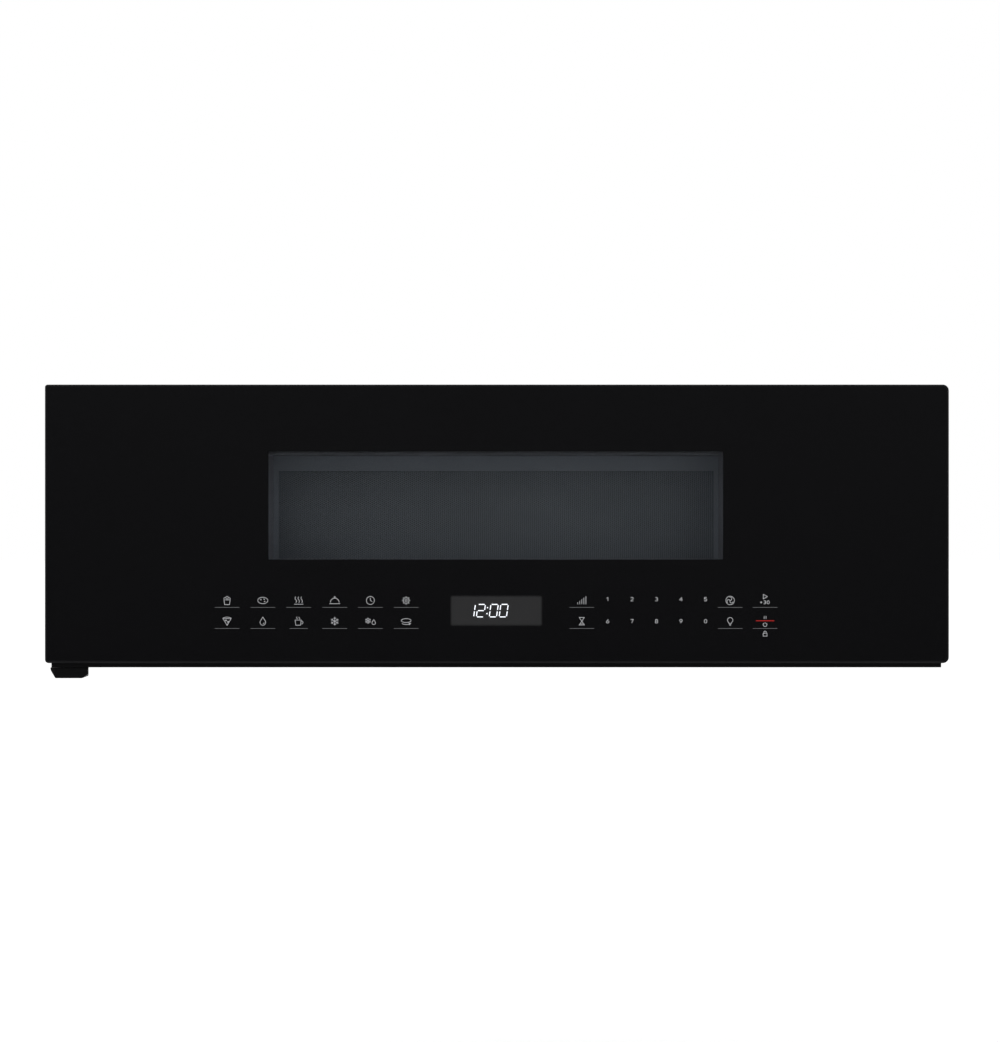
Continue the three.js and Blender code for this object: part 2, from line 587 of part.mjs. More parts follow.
function powerBoard() {
  const { x, y, z } = POWER_BOARD;
  const board = block([x[0], x[1]], [y[0], y[1]], [z, z + 1.6]);
  const relays = pattern(spread(y[0] + 20, y[0] + 76, 3), (at) => extrude(
    rectangle([x[1] - 30, x[1] - 8], [at - 8, at + 8], 1.5), 'xy', [z + 1, z + 18]));
  const transformer = extrude(rectangle([x[0] + 14, x[0] + 50], [y[1] - 44, y[1] - 12], 2), 'xy',
    [z + 1, z + 30]);
  const capacitor = rod('xy', [x[0] + 66, y[1] - 24], 8, [z + 1, z + 26], 12);
  const connectors = pattern(spread(y[0] + 16, y[0] + 72, 4), (at) => block([x[0] + 4, x[0] + 12],
    [at - 6, at + 6], [z + 1, z + 12]));
  return join(board, relays, transformer, capacitor, connectors);
}

add(cabinet, 'magnetron', magnetron(), FINISH.aluminium);
add(cabinet, 'high_voltage_transformer', highVoltageTransformer(), FINISH.copper);
add(cabinet, 'high_voltage_capacitor', highVoltageCapacitor(), FINISH.aluminium);
add(cabinet, 'high_voltage_diode', highVoltageDiode(), FINISH.blackPlastic);
add(cabinet, 'noise_filter_board', noiseFilterBoard(), FINISH.board);
add(cabinet, 'power_board_tray', powerBoardTray(), FINISH.whitePlastic);
add(cabinet, 'power_board', powerBoard(), FINISH.board);

// ---------------------------------------------------------------- cooling fan

function coolingFanDuct() {
  const { x, y, z, radius } = COOLING_FAN;
  const plate = extrude(rectangle([242, 368], [2, 186], 4), 'xz', [y - 1, y + 1]);
  const foot = block([242, 368], [y - 14, y + 1], [1.3, 3]);
  const collar = rod('xz', [x, z], radius + 8.5, [y - 18, y + 1], 24);
  const bore = rod('xz', [x, z], radius + 6, [y - 20, y + 3], 24);
  return cut(join(plate, foot, collar), bore);
}

function coolingFanWheel() {
  const { x, y, z, radius, blades } = COOLING_FAN;
  const hub = cut(rod('xy', [0, 0], 13, [-9, 9], 20), rod('xy', [0, 0], 2.3, [-12, 12], 10));
  const blade = extrude(polygon([[8, -8], [26, -13], [radius, -17], [radius, 8], [30, 12], [8, 8]]), 'xy',
    [-0.8, 0.8])
    .rotate([32, 0, 0]);
  const wheel = join(hub, pattern(spread(0, 360 * (blades - 1) / blades, blades),
    (angle) => turned(blade, angle)));
  return wheel.rotate([90, 0, 0]).translate([x, y - 8, z]);
}

function coolingFanMotor() {
  const { x, y, z } = COOLING_FAN;
  const core = extrude(rectangle([x - 30, x + 30], [z - 24, z + 26], 3), 'xz', [y + 12, y + 26]);
  const rotorCap = rod('xz', [x, z], 13, [y + 6, y + 32], 16);
  const shaft = rod('xz', [x, z], 2, [y - 19, y + 8], 10);
  const coil = extrude(rectangle([x - 15, x + 15], [z - 46, z - 20], 5), 'xz', [y + 6, y + 32]);
  const arms = pattern([-1, 1], (side) => join(
    block([x + side * 26 - 5, x + side * 26 + 5], [y + 24, y + 27], [z - 60, z + 60]),
    block([x + side * 26 - 5, x + side * 26 + 5], [y + 1.3, y + 27], [z - 62, z - 59]),
    block([x + side * 26 - 5, x + side * 26 + 5], [y + 1.3, y + 27], [z + 59, z + 62])));
  return join(core, rotorCap, shaft, coil, arms);
}

add(cabinet, 'cooling_fan_duct', coolingFanDuct(), FINISH.blackPlastic);
add(cabinet, 'cooling_fan_motor', coolingFanMotor(), FINISH.galvanised);
add(cabinet, 'cooling_fan_wheel', coolingFanWheel(), FINISH.blackPlastic);

// ---------------------------------------------------------------- twin blower (origin on its shaft)

const SCROLL = { inner: 33, outer: 115, wall: 1.2, outlet: [31, 60], reach: 74, tongue: 0.8 };

/** The scroll's outline in the YZ plane: a spiral from the cut-off, under the wheel, up the back and over. */
function scrollOutline(offset) {
  const { firstRadius, lastRadius } = BLOWER;
  const points = [];
  const steps = 10;
  for (let i = 0; i <= steps; i += 1) {
    const turn = i / steps;
    const angle = Math.PI + 1.5 * Math.PI * turn;
    const radius = firstRadius + (lastRadius - firstRadius) * turn - offset;
    points.push([radius * Math.cos(angle), radius * Math.sin(angle)]);
  }
  const top = lastRadius - offset;
  const low = SCROLL.outlet[0] + offset;
  const end = -SCROLL.reach - (offset > 0 ? 5 : 0);
  return polygon([...points, [end, top], [end, low], [-firstRadius * SCROLL.tongue, low]]);
}

function blowerHousing(side) {
  const span = [side * SCROLL.inner, side * SCROLL.outer].sort((a, b) => a - b);
  const inside = [span[0] + SCROLL.wall, span[1] - SCROLL.wall];
  const shell = cut(extrude(scrollOutline(0), 'yz', span),
    extrude(scrollOutline(SCROLL.wall), 'yz', inside));
  const inlet = rod('yz', [0, 0], BLOWER.wheelRadius - 7, [span[0] - 2, span[1] + 2], 24);
  return cut(shell, inlet);
}

function blowerWheel(side) {
  const { wheelRadius, wheelWidth, blades } = BLOWER;
  const middle = side * (SCROLL.inner + SCROLL.outer) / 2;
  const half = wheelWidth / 2;
  const corner = (radius, lean) => [radius * Math.cos(lean), radius * Math.sin(lean)];
  const blade = extrude(polygon([corner(wheelRadius - 8, 0.03), corner(wheelRadius - 0.6, 0.2),
    corner(wheelRadius - 0.6, 0.24), corner(wheelRadius - 8, 0.07)]), 'yz',
      [middle - half + 0.5, middle + half - 0.5]);
  const fan = pattern(spread(0, 360 * (blades - 1) / blades, blades),
    (angle) => blade.rotate([angle, 0, 0]));
  const rings = pattern([-1, 1], (end) => {
    const at = middle + end * half;
    const span = [at, at - end * 2].sort((a, b) => a - b);
    return ring('yz', [0, 0], wheelRadius, wheelRadius - 8.8, span, blades);
  });
  const disc = cut(join(rod('yz', [0, 0], wheelRadius, [middle - 0.8, middle + 0.8], blades),
    rod('yz', [0, 0], 7, [middle - 9, middle + 9], 8)),
      rod('yz', [0, 0], 3.3, [middle - 12, middle + 12], 8));
  return join(disc, rings, fan);
}

function blowerMotor() {
  const can = rod('yz', [0, 0], 30, [-24, 24], 18);
  const caps = pattern([-1, 1], (side) => rod('yz', [0, 0], 13, side < 0 ? [-29, -23] : [23, 29], 12));
  const bore = rod('yz', [0, 0], 3.3, [-40, 40], 8);
  const strap = ring('yz', [0, 0], 32, 29, [-6, 6], 18);
  const bracket = join(block([-20, 20], [28, 51], [-4, 4]), block([-20, 20], [48.5, 50.5], [-30, 30]));
  return cut(join(can, caps, strap, bracket), bore);
}

add(blower, 'blower_housing_left', blowerHousing(-1), FINISH.galvanised);
add(blower, 'blower_housing_right', blowerHousing(1), FINISH.galvanised);
add(blower, 'blower_motor', blowerMotor(), FINISH.galvanised);
add(blower, 'blower_shaft', rod('yz', [0, 0], 3, [-112, 112], 8), FINISH.spring);
add(blower, 'blower_wheel_left', blowerWheel(-1), FINISH.blackPlastic);
add(blower, 'blower_wheel_right', blowerWheel(1), FINISH.blackPlastic);

// ---------------------------------------------------------------- underside

function greaseFilter(side) {
  const [x, y] = [side * FILTER.x, FILTER.y];
  const [halfX, halfY] = [FILTER.length / 2, FILTER.width / 2];
  const low = 1 + GAP;
  const high = low + FILTER.thickness;
  const frame = cut(extrude(rectangle([x - halfX, x + halfX], [y - halfY, y + halfY], 4), 'xy', [low, high]),
    extrude(rectangle([x - halfX + 7, x + halfX - 7], [y - halfY + 7, y + halfY - 7], 3), 'xy',
      [low - 1, high + 1]));
  const teeth = 14;
  const wave = [];
  for (let i = 0; i <= 2 * teeth; i += 1) {
    wave.push([y - halfY + 6 + (FILTER.width - 12) * i / (2 * teeth), i % 2 ? low + 2.2 : low + 6.2]);
  }
  const back = wave.map(([u, v]) => [u, v + 1.2]).reverse();
  const meshCore = extrude(polygon([...wave, ...back]), 'yz', [x - halfX + 5, x + halfX - 5]);
  const tab = block([x - side * (halfX - 22) - 9, x - side * (halfX - 22) + 9], [y - 1, y + 1],
    [-5, low + 7.4]);
  return join(frame, meshCore, tab);
}

function cooktopLamp(side) {
  const [x, y] = [side * LAMP.x, LAMP.y];
  const board = extrude(rectangle([x - 27, x + 27], [y - 17, y + 17], 3), 'xy', [7.2, 9]);
  const posts = pattern([[-24, -14], [24, -14], [-24, 14], [24, 14]],
    ([dx, dy]) => rod('xy', [x + dx, y + dy], 2, [4.6, 8], 8));
  const chips = pattern([-14, 0, 14], (dx) => block([x + dx - 2.5, x + dx + 2.5], [y - 2.5, y + 2.5],
    [6.2, 8]));
  return join(board, posts, chips);
}

function lampLens(side) {
  const [x, y] = [side * LAMP.x, LAMP.y];
  const flange = extrude(rectangle([x - LAMP.length / 2, x + LAMP.length / 2],
    [y - LAMP.width / 2, y + LAMP.width / 2], 4),
    'xy', [1 + GAP, 4.2]);
  const face = extrude(rectangle([x - 24.5, x + 24.5], [y - 14.5, y + 14.5], 4), 'xy', [0.2, 3],
    { bevel: 0.5 });
  return join(flange, face);
}

for (const [word, side] of [['left', -1], ['right', 1]]) {
  add(cabinet, `grease_filter_${word}`, greaseFilter(side), FINISH.aluminium);
  add(cabinet, `cooktop_lamp_${word}`, cooktopLamp(side), FINISH.board);
  add(cabinet, `lamp_lens_${word}`, lampLens(side), FINISH.clearGlass);
}

// ---------------------------------------------------------------- hinges (door's frame: y 0 at its back)

/** The upper hinge arm's lower face, from the door's bottom edge. */
function upperArmHeight() {
  return DOOR.height - 12.4;
}

/** A round bar on the door's hinge line, such as a pin or its head. */
function onHingeLine(radius, span) {
  return rod('xy', [HINGE.x, -HINGE.intoDoor], radius, span);
}

function upperHingeBracket() {
  const z = upperArmHeight();
  const top = z + HINGE.armThickness;
  const arm = extrude(rectangle([HINGE.x - 2, HINGE.x + 17], [-HINGE.intoDoor, 22], 1), 'xy', [z, top]);
  const eye = rod('xy', [HINGE.x, -HINGE.intoDoor], HINGE.bossRadius, [z, top], 14);
  const flange = extrude(rectangle([HINGE.x - 1.6, HINGE.x + 30], [z - 46, z + HINGE.armThickness], 3), 'xz',
    [DOOR.gap + 1 + GAP, DOOR.gap + 3.5]);
  const holes = pattern([z - 12, z - 34], (at) => rod('xz', [HINGE.x + 18, at], 2.2, [0, 10], 6));
  return join(cut(join(arm, eye, flange), holes), onHingeLine(HINGE.pinRadius, [z - 24, top + 1]),
    onHingeLine(4.6, [top - 0.5, top + 1.6]));
}

/** The lower arm: a plate that is screwed under the case and holds the door's lower pin. */
function lowerHingeBracket() {
  const top = -FOOT.top;
  const plate = extrude(rectangle([HINGE.x - 2, HINGE.x + 16.2], [-HINGE.intoDoor, 80], 3), 'xy',
    [top - 2.5, top]);
  const eye = rod('xy', [HINGE.x + 2, -HINGE.intoDoor], HINGE.bossRadius - 2, [top - 2.5, top], 14);
  const holes = pattern([30, 60], (y) => rod('xy', [HINGE.x + 8, y], 2.2, [top - 4, top + 1], 6));
  return join(cut(join(plate, eye), holes), onHingeLine(HINGE.pinRadius, [top - 1, 24]));
}

/** The moulded foot under the lower left corner of the door, which hides the pin and narrows to its back. */
function lowerHingeCover() {
  const section = polygon([[FOOT.left, -FOOT.top], [FOOT.left + 0.8, -6.8], [FOOT.left + 4.8, -FOOT.drop],
    [FOOT.right - 4.5, -FOOT.drop], [FOOT.right, -9.9], [FOOT.right, -FOOT.top]]);
  const bar = extrude(section, 'xz', [FOOT.front, FOOT.back]);
  const plan = extrude(rectangle([FOOT.left - 1, FOOT.right + 1], [FOOT.front, FOOT.back], 5), 'xy',
    [-20, 5]);
  const taper = extrude(polygon([[FOOT.right, FOOT.front + 5], [FOOT.right + 2, FOOT.front + 5],
    [FOOT.right + 2, FOOT.back + 1], [FOOT.right - FOOT.taper, FOOT.back + 1]]), 'xy', [-20, 5]);
  const pocket = block([HINGE.x - 3.4, HINGE.x + 17.2], [-HINGE.intoDoor - 6, FOOT.back + 1],
    [-FOOT.top - 2.5 - GAP, 5]);
  return cut(bar.intersect(plan), taper, pocket);
}

const armZ = upperArmHeight();
add(doorway, 'upper_hinge_bracket', upperHingeBracket(), FINISH.galvanised);
add(doorway, 'lower_hinge_bracket', lowerHingeBracket(), FINISH.blackPaint);
add(doorway, 'lower_hinge_cover', lowerHingeCover(), FINISH.blackPlastic);

// ---------------------------------------------------------------- latch board and door switches

function latchBoard() {
  const x = LATCH.x;
  const spine = extrude(rectangle([DOOR.gap + 1 + GAP, 34], [55, 185], 4), 'yz', [x + 9, x + 12]);
  const foot = extrude(rectangle([x - 9, x + 14], [58, 182], 4), 'xz', [DOOR.gap + 1 + GAP, DOOR.gap + 3.5]);
  const windows = pattern(LATCH.hooks, (z) => block([x - 7, x + 7], [0, 12], [z - 11, z + 12]));
  const shelves = pattern(LATCH.hooks, (z) => extrude(
    rectangle([x - 8, x + 10], [DOOR.gap + 2, 30], 2), 'xy',
    [z - 13.6, z - 11.4]));
  return join(cut(join(spine, foot), windows), shelves);
}

function microSwitch(z) {
  const x = LATCH.x;
  const body = extrude(rectangle([31, 47], [z - 9, z + 9], 1.5), 'yz', [x - 5, x + 5]);
  const button = block([x - 1.5, x + 1.5], [28.6, 32], [z + 2, z + 5]);
  const tabs = pattern([-6, 0, 6], (dz) => block([x - 0.4, x + 0.4], [46, 54],
    [z + dz - 1.5, z + dz + 1.5]));
  return join(body, button, tabs);
}

const LEVER = { y: 22, z: 118 };

function interlockLever() {
  const x = LATCH.x;
  const profile = polygon([[LEVER.y - 3, LEVER.z - 22], [LEVER.y + 2, LEVER.z - 24],
    [LEVER.y + 5, LEVER.z - 4],
    [LEVER.y + 5, LEVER.z + 4], [LEVER.y - 5, LEVER.z + 4], [LEVER.y - 5, LEVER.z - 4]]);
  const arm = extrude(profile, 'yz', [x - 3, x + 3]);
  return cut(arm, rod('yz', [LEVER.y, LEVER.z], 2.3, [x - 5, x + 5], 12));
}

function leverPivot() {
  return rod('yz', [LEVER.y, LEVER.z], 2, [LATCH.x - 4.5, LATCH.x + 10], 12);
}

add(doorway, 'latch_board', join(latchBoard(), leverPivot()), FINISH.whitePlastic);
add(doorway, 'upper_interlock_switch', microSwitch(LATCH.hooks[1]), FINISH.blackPlastic);
add(doorway, 'monitor_switch', microSwitch(102), FINISH.blackPlastic);
add(doorway, 'lower_interlock_switch', microSwitch(LATCH.hooks[0]), FINISH.blackPlastic);
add(doorway, 'interlock_lever', interlockLever(), FINISH.whitePlastic);

// ---------------------------------------------------------------- door (z from its bottom edge)

const GLASS_BACK = -DOOR.thickness + DOOR.glass;
const WEB = [GLASS_BACK + GAP, GLASS_BACK + GAP + DOOR.wall];
const SCREEN = { y: [-5.2, -4.6], margin: 8 };
const PLATEAU = [-4.3, -3.3];

/** The door's outline, drawn in from the glass edge by an inset. */
function doorOutline(inset) {
  const half = DOOR.width / 2 - inset;
  return rectangle([-half, half], [inset, DOOR.height - inset], 4);
}

/** The chamber mouth's outline in the door's frame, grown by a margin. */
function plateauOutline(margin) {
  const half = OVEN.width / 2 - 8 + margin;
  const low = OVEN.floor - DOOR.aboveCabinetBottom + 8 - margin;
  return rectangle([OVEN.x - half, OVEN.x + half], [low, low + OVEN.height - 16 + 2 * margin],
    Math.max(OVEN.radius + margin, 3));
}

function windowOutline(margin) {
  return rectangle([WINDOW.left - margin, WINDOW.right + margin],
    [WINDOW.bottom - margin, WINDOW.top + margin],
    Math.max(margin, 0));
}

function doorGlass() {
  const half = DOOR.width / 2;
  const outline = rectangle([-half, half], [0, DOOR.height], GLASS_RADII, 3);
  return extrude(outline, 'xz', [-DOOR.thickness, GLASS_BACK], { bevel: 1 });
}

/** The door's moulded body: a shallow box behind the glass, whose skirt shows as a dark line below it. */
function doorFrame() {
  const back = -2.8;
  const wallSpan = [WEB[0], back];
  const box = cut(extrude(doorOutline(DOOR.inset), 'xz', wallSpan),
    extrude(doorOutline(DOOR.inset + DOOR.wall), 'xz', [WEB[1], 5]));
  const boardHole = extrude(rectangle([-TOUCH_BOARD.width / 2 - GAP, TOUCH_BOARD.width / 2 + GAP],
    [TOUCH_BOARD.bottom - GAP, TOUCH_BOARD.top + GAP], 1), 'xz', [WEB[0] - 1, WEB[1] + 1]);
  const tunnel = extrude(windowOutline(1.5), 'xz', [WEB[0], SCREEN.y[0] - GAP]);
  const windowHole = extrude(windowOutline(0), 'xz', [WEB[0] - 1, 5]);
  const bosses = [rod('xy', [HINGE.x, -HINGE.intoDoor], HINGE.bossRadius, [2, 26], 18),
    rod('xy', [HINGE.x, -HINGE.intoDoor], HINGE.bossRadius, [armZ - 28, armZ - 1], 18)];
  const ribs = pattern([14, armZ - 12], (z) => block([-377, HINGE.x + 26],
    [-HINGE.intoDoor - 1.2, -HINGE.intoDoor + 1.2],
    [z - 8, z + 8]));
  const gussets = pattern([-300, -150, 0, 150, 300], (x) => join(
    block([x - 0.9, x + 0.9], [WEB[1] - 1, WEB[1] + 14], [DOOR.inset + 1, TOUCH_BOARD.bottom - 2]),
    block([x - 0.9, x + 0.9], [WEB[1] - 1, WEB[1] + 14], [WINDOW.top + 10, DOOR.height - DOOR.inset - 1])));
  const right = DOOR.width / 2 - DOOR.inset;
  const { bottom, top, width, depth } = FINGER_RECESS;
  const wall = DOOR.wall;
  const recessShell = block([right - width - wall, right], [WEB[1] - 1, WEB[1] + depth + wall],
    [bottom - wall, top + wall]);
  const recess = block([right - width, right + 5], [WEB[1], WEB[1] + depth], [bottom, top]);
  const pinHole = rod('xy', [HINGE.x, -HINGE.intoDoor], HINGE.pinRadius + GAP, [0, DOOR.height - 3], 16);
  const armSlot = block([-380, HINGE.x + 24], [-HINGE.intoDoor - 10, 2],
    [armZ - 1, armZ + HINGE.armThickness + 3]);
  const springPost = block([LATCH.x - 3, LATCH.x + 3], [WEB[1] - 1, -26], [16, 19]);
  const skirt = block([SKIRT.left, SKIRT.right], WEB, [-SKIRT.drop, DOOR.inset + 1]);
  return cut(join(box, skirt, tunnel, bosses, ribs, gussets, recessShell, springPost),
    boardHole, windowHole, recess, pinHole, armSlot);
}

function doorBackCover() {
  const plate = extrude(doorOutline(DOOR.inset), 'xz', [-DOOR.wall, 0]);
  const hole = extrude(plateauOutline(CHOKE.width + 8.3), 'xz', [-4, 1]);
  const hookSlots = pattern(LATCH.hooks, (z) => extrude(rectangle([LATCH.x - 5, LATCH.x + 5],
    [z - 10, z + 11.5], 1.5), 'xz',
    [-4, 1]));
  const armSlot = block([-380, HINGE.x + 24], [-4, 2], [armZ - 1, armZ + HINGE.armThickness + 3]);
  return cut(plate, hole, hookSlots, armSlot);
}

/** The folded steel pan of the door: a raised middle, a choke channel round it, and its slotted lip. */
function doorInnerPanel() {
  const bottom = PLATEAU[0] - CHOKE.depth;
  const tub = cut(extrude(plateauOutline(CHOKE.width), 'xz', [bottom, PLATEAU[1]]),
    extrude(plateauOutline(CHOKE.width - 1), 'xz', [bottom + 1, 2]));
  const hat = extrude(plateauOutline(0), 'xz', [bottom, PLATEAU[1]]);
  const hollow = extrude(plateauOutline(-1), 'xz', [bottom - 2, PLATEAU[0]]);
  const flange = cut(extrude(plateauOutline(CHOKE.width + 7), 'xz', PLATEAU),
    extrude(plateauOutline(CHOKE.width - 0.5), 'xz', [-10, 2]));
  const lip = cut(extrude(plateauOutline(CHOKE.width - 0.5), 'xz', [PLATEAU[0] - 3, PLATEAU[0] - 2]),
    extrude(plateauOutline(CHOKE.width - CHOKE.lip), 'xz', [-20, 2]));
  const opening = extrude(windowOutline(5), 'xz', [-10, 2]);
  return cut(join(tub, hat, flange, cut(lip, chokeSlots())), hollow, opening);
}

/** The slots that divide the lip of the choke channel into teeth. */
function chokeSlots() {
  const half = OVEN.width / 2 - 8 + CHOKE.width - 1.5;
  const low = OVEN.floor - DOOR.aboveCabinetBottom + 8 - CHOKE.width + 1.5;
  const high = low + OVEN.height - 16 + 2 * CHOKE.width - 3;
  const across = PLATEAU[0] - 2.5;
  const span = [across - 2, across + 2];
  const columns = spread(OVEN.x - half + 30, OVEN.x + half - 30, Math.round((2 * half - 60) / CHOKE.pitch));
  const rows = spread(low + 30, high - 30, Math.round((high - low - 60) / CHOKE.pitch));
  const slot = CHOKE.slot / 2;
  return [
    ...columns.flatMap((x) => [block([x - slot, x + slot], span, [low, low + CHOKE.lip]),
      block([x - slot, x + slot], span, [high - CHOKE.lip, high])]),
    ...rows.flatMap((z) => [block([OVEN.x - half, OVEN.x - half + CHOKE.lip], span, [z - slot, z + slot]),
      block([OVEN.x + half - CHOKE.lip, OVEN.x + half], span, [z - slot, z + slot])]),
  ];
}

function windowScreen() {
  return extrude(windowOutline(SCREEN.margin), 'xz', SCREEN.y);
}

function innerWindow() {
  return extrude(plateauOutline(-1), 'xz', [-3.0, -1.0], { bevel: 0.4 });
}

function chokeCover() {
  const ringPlate = cut(extrude(plateauOutline(CHOKE.width + 8), 'xz', [-2.6, 0]),
    extrude(plateauOutline(-0.6), 'xz', [-5, 2]));
  const groove = cut(extrude(plateauOutline(CHOKE.width + 2), 'xz', [-4, -1.6]),
    extrude(plateauOutline(3), 'xz', [-5, 2]));
  return cut(ringPlate, groove);
}

function touchBoard() {
  const half = TOUCH_BOARD.width / 2;
  const back = GLASS_BACK + GAP + TOUCH_BOARD.thickness;
  const board = extrude(rectangle([-half, half], [TOUCH_BOARD.bottom, TOUCH_BOARD.top], 2), 'xz',
    [GLASS_BACK + GAP, back]);
  const chips = pattern([-170, -90, 110, 190], (x) => extrude(rectangle([x - 8, x + 8], [30, 46], 1), 'xz',
    [back - 0.5, back + 3]));
  const connector = block([214, 240], [back - 0.5, back + 8], [20, 30]);
  const hole = extrude(displayOutline(1.7), 'xz', [-60, 0]);
  return cut(join(board, chips, connector), hole);
}

function displayOutline(margin) {
  const halfX = DISPLAY.width / 2 + margin;
  const halfZ = DISPLAY.height / 2 + margin;
  return rectangle([DISPLAY.x - halfX, DISPLAY.x + halfX], [DISPLAY.z - halfZ, DISPLAY.z + halfZ], 1);
}

function displayModule() {
  const front = GLASS_BACK + GAP;
  const body = extrude(displayOutline(1.4), 'xz', [front, front + 11]);
  const ears = pattern([-1, 1], (side) => extrude(
    rectangle([DISPLAY.x + side * 46 - 7, DISPLAY.x + side * 46 + 7], [DISPLAY.z - 5, DISPLAY.z + 5], 3),
    'xz',
    [front + TOUCH_BOARD.thickness + 3.3, front + TOUCH_BOARD.thickness + 5.3]));
  return join(body, ears);
}

function doorLatch() {
  const { x, width, hooks } = LATCH;
  const bar = extrude(rectangle([-34, -26], [hooks[0] - 20, hooks[1] + 20], 3), 'yz',
    [x - width / 2, x + width / 2]);
  const arms = pattern(hooks, (z) => extrude(
    polygon([[-30, z - 6], [12, z - 6], [15, z - 8.5], [21, z - 8.5], [26, z - 2], [26, z + 1], [16, z + 6],
      [-30, z + 6]]),
    'yz', [x - width / 2, x + width / 2]));
  const springEye = block([x - 2, x + 2], [-32, -28], [hooks[0] - 24, hooks[0] - 19]);
  return join(bar, arms, springEye);
}

/** The helix of the latch's return spring. */
class Helix extends THREE.Curve {
  constructor(radius, turns, low, high) {
    super();
    Object.assign(this, { radius, turns, low, high });
  }

  getPoint(t, target = new THREE.Vector3()) {
    const angle = 2 * Math.PI * this.turns * t;
    return target.set(this.radius * Math.cos(angle), this.radius * Math.sin(angle),
      this.low + (this.high - this.low) * t);
  }
}

function latchSpring() {
  const turns = 5;
  const geometry = new THREE.ExtrudeGeometry(circle(0, 0, 0.45, 5), {
    steps: turns * 8, bevelEnabled: false, extrudePath: new Helix(3, turns, 20.2, LATCH.hooks[0] - 25.2),
  });
  geometry.translate(LATCH.x, -30, 0);
  return solid(geometry);
}

add(door, 'door_glass', doorGlass(), FINISH.blackGlass);
add(door, 'door_frame', doorFrame(), FINISH.blackPlastic);
add(door, 'door_back_cover', doorBackCover(), FINISH.blackPlastic);
add(door, 'door_inner_panel', doorInnerPanel(), FINISH.blackPaint);
add(door, 'window_screen', windowScreen(), FINISH.darkScreen);
add(door, 'inner_window', innerWindow(), FINISH.clearGlass);
add(door, 'choke_cover', chokeCover(), FINISH.blackPlastic);
add(door, 'touch_board', touchBoard(), FINISH.board);
add(door, 'display_module', displayModule(), FINISH.blackPlastic);
add(door, 'door_latch', doorLatch(), FINISH.whitePlastic);
add(door, 'latch_spring', latchSpring(), FINISH.spring);

export default microwave;
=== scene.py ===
"""Looks of a low-profile over the range microwave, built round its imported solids.

The solids are in metres: +Z is up, the front faces -Y, and the origin is the middle of the back plate's rear
face. The pieces made here are worked out in millimetres in that same frame.
"""

from __future__ import annotations

import json
import logging
import math
from dataclasses import dataclass
from enum import Enum
from typing import Any, Iterable, Sequence

import bmesh
import bpy
import numpy as np
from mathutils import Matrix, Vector

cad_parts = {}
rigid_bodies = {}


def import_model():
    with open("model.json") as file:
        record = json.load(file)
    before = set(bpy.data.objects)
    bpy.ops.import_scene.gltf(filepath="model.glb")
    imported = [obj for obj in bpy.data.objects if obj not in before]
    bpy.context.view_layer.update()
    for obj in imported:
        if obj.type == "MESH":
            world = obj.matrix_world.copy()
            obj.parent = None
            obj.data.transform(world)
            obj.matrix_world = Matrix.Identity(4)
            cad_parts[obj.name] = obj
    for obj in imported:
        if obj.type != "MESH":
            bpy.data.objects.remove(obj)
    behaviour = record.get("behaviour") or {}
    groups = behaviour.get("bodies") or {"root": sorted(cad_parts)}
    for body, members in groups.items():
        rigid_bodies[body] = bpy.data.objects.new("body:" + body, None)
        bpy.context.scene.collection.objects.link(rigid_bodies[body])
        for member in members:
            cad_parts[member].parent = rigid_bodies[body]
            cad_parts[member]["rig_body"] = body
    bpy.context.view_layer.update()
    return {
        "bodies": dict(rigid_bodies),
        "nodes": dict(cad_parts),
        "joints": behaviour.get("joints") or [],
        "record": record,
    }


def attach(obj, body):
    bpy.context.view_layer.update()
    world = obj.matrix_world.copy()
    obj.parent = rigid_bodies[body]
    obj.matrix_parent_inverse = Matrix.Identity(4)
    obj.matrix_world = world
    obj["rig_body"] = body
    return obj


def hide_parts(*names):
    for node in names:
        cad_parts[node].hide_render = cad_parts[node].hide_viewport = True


LOG = logging.getLogger("microwave")
MM = 0.001  # one millimetre in metres
Array = np.ndarray
Color = tuple[float, float, float]
Box = tuple[float, float, float, float, float, float]
WHITE = (1, 1, 1, 1)


# ------------------------------------------------------------------ surfaces


@dataclass
class Shape:
    """Points in millimetres, the faces between them, and the number of each face's finish."""

    points: Array
    faces: list[Array]
    finishes: list[int]

    def moved(self, offset: Sequence[float]) -> "Shape":
        """The same shape shifted: p' = p + offset."""
        return Shape(self.points + np.asarray(offset, float), self.faces, self.finishes)

    def turned(self, matrix: Array) -> "Shape":
        """The same shape turned: p' = R p."""
        return Shape(self.points @ np.asarray(matrix, float).T, self.faces, self.finishes)

    def painted(self, finish: int) -> "Shape":
        """The same shape with one finish on all its faces."""
        return Shape(self.points, self.faces, [finish] * len(self.faces))


def together(shapes: Iterable[Shape]) -> Shape:
    """Several shapes as one, their face numbers shifted by the points that come before them."""
    parts = list(shapes)
    starts = np.cumsum([0] + [len(part.points) for part in parts])
    faces = [rows + start for part, start in zip(parts, starts) for rows in part.faces]
    finishes = [number for part in parts for number in part.finishes]
    return Shape(np.concatenate([part.points for part in parts]), faces, finishes)


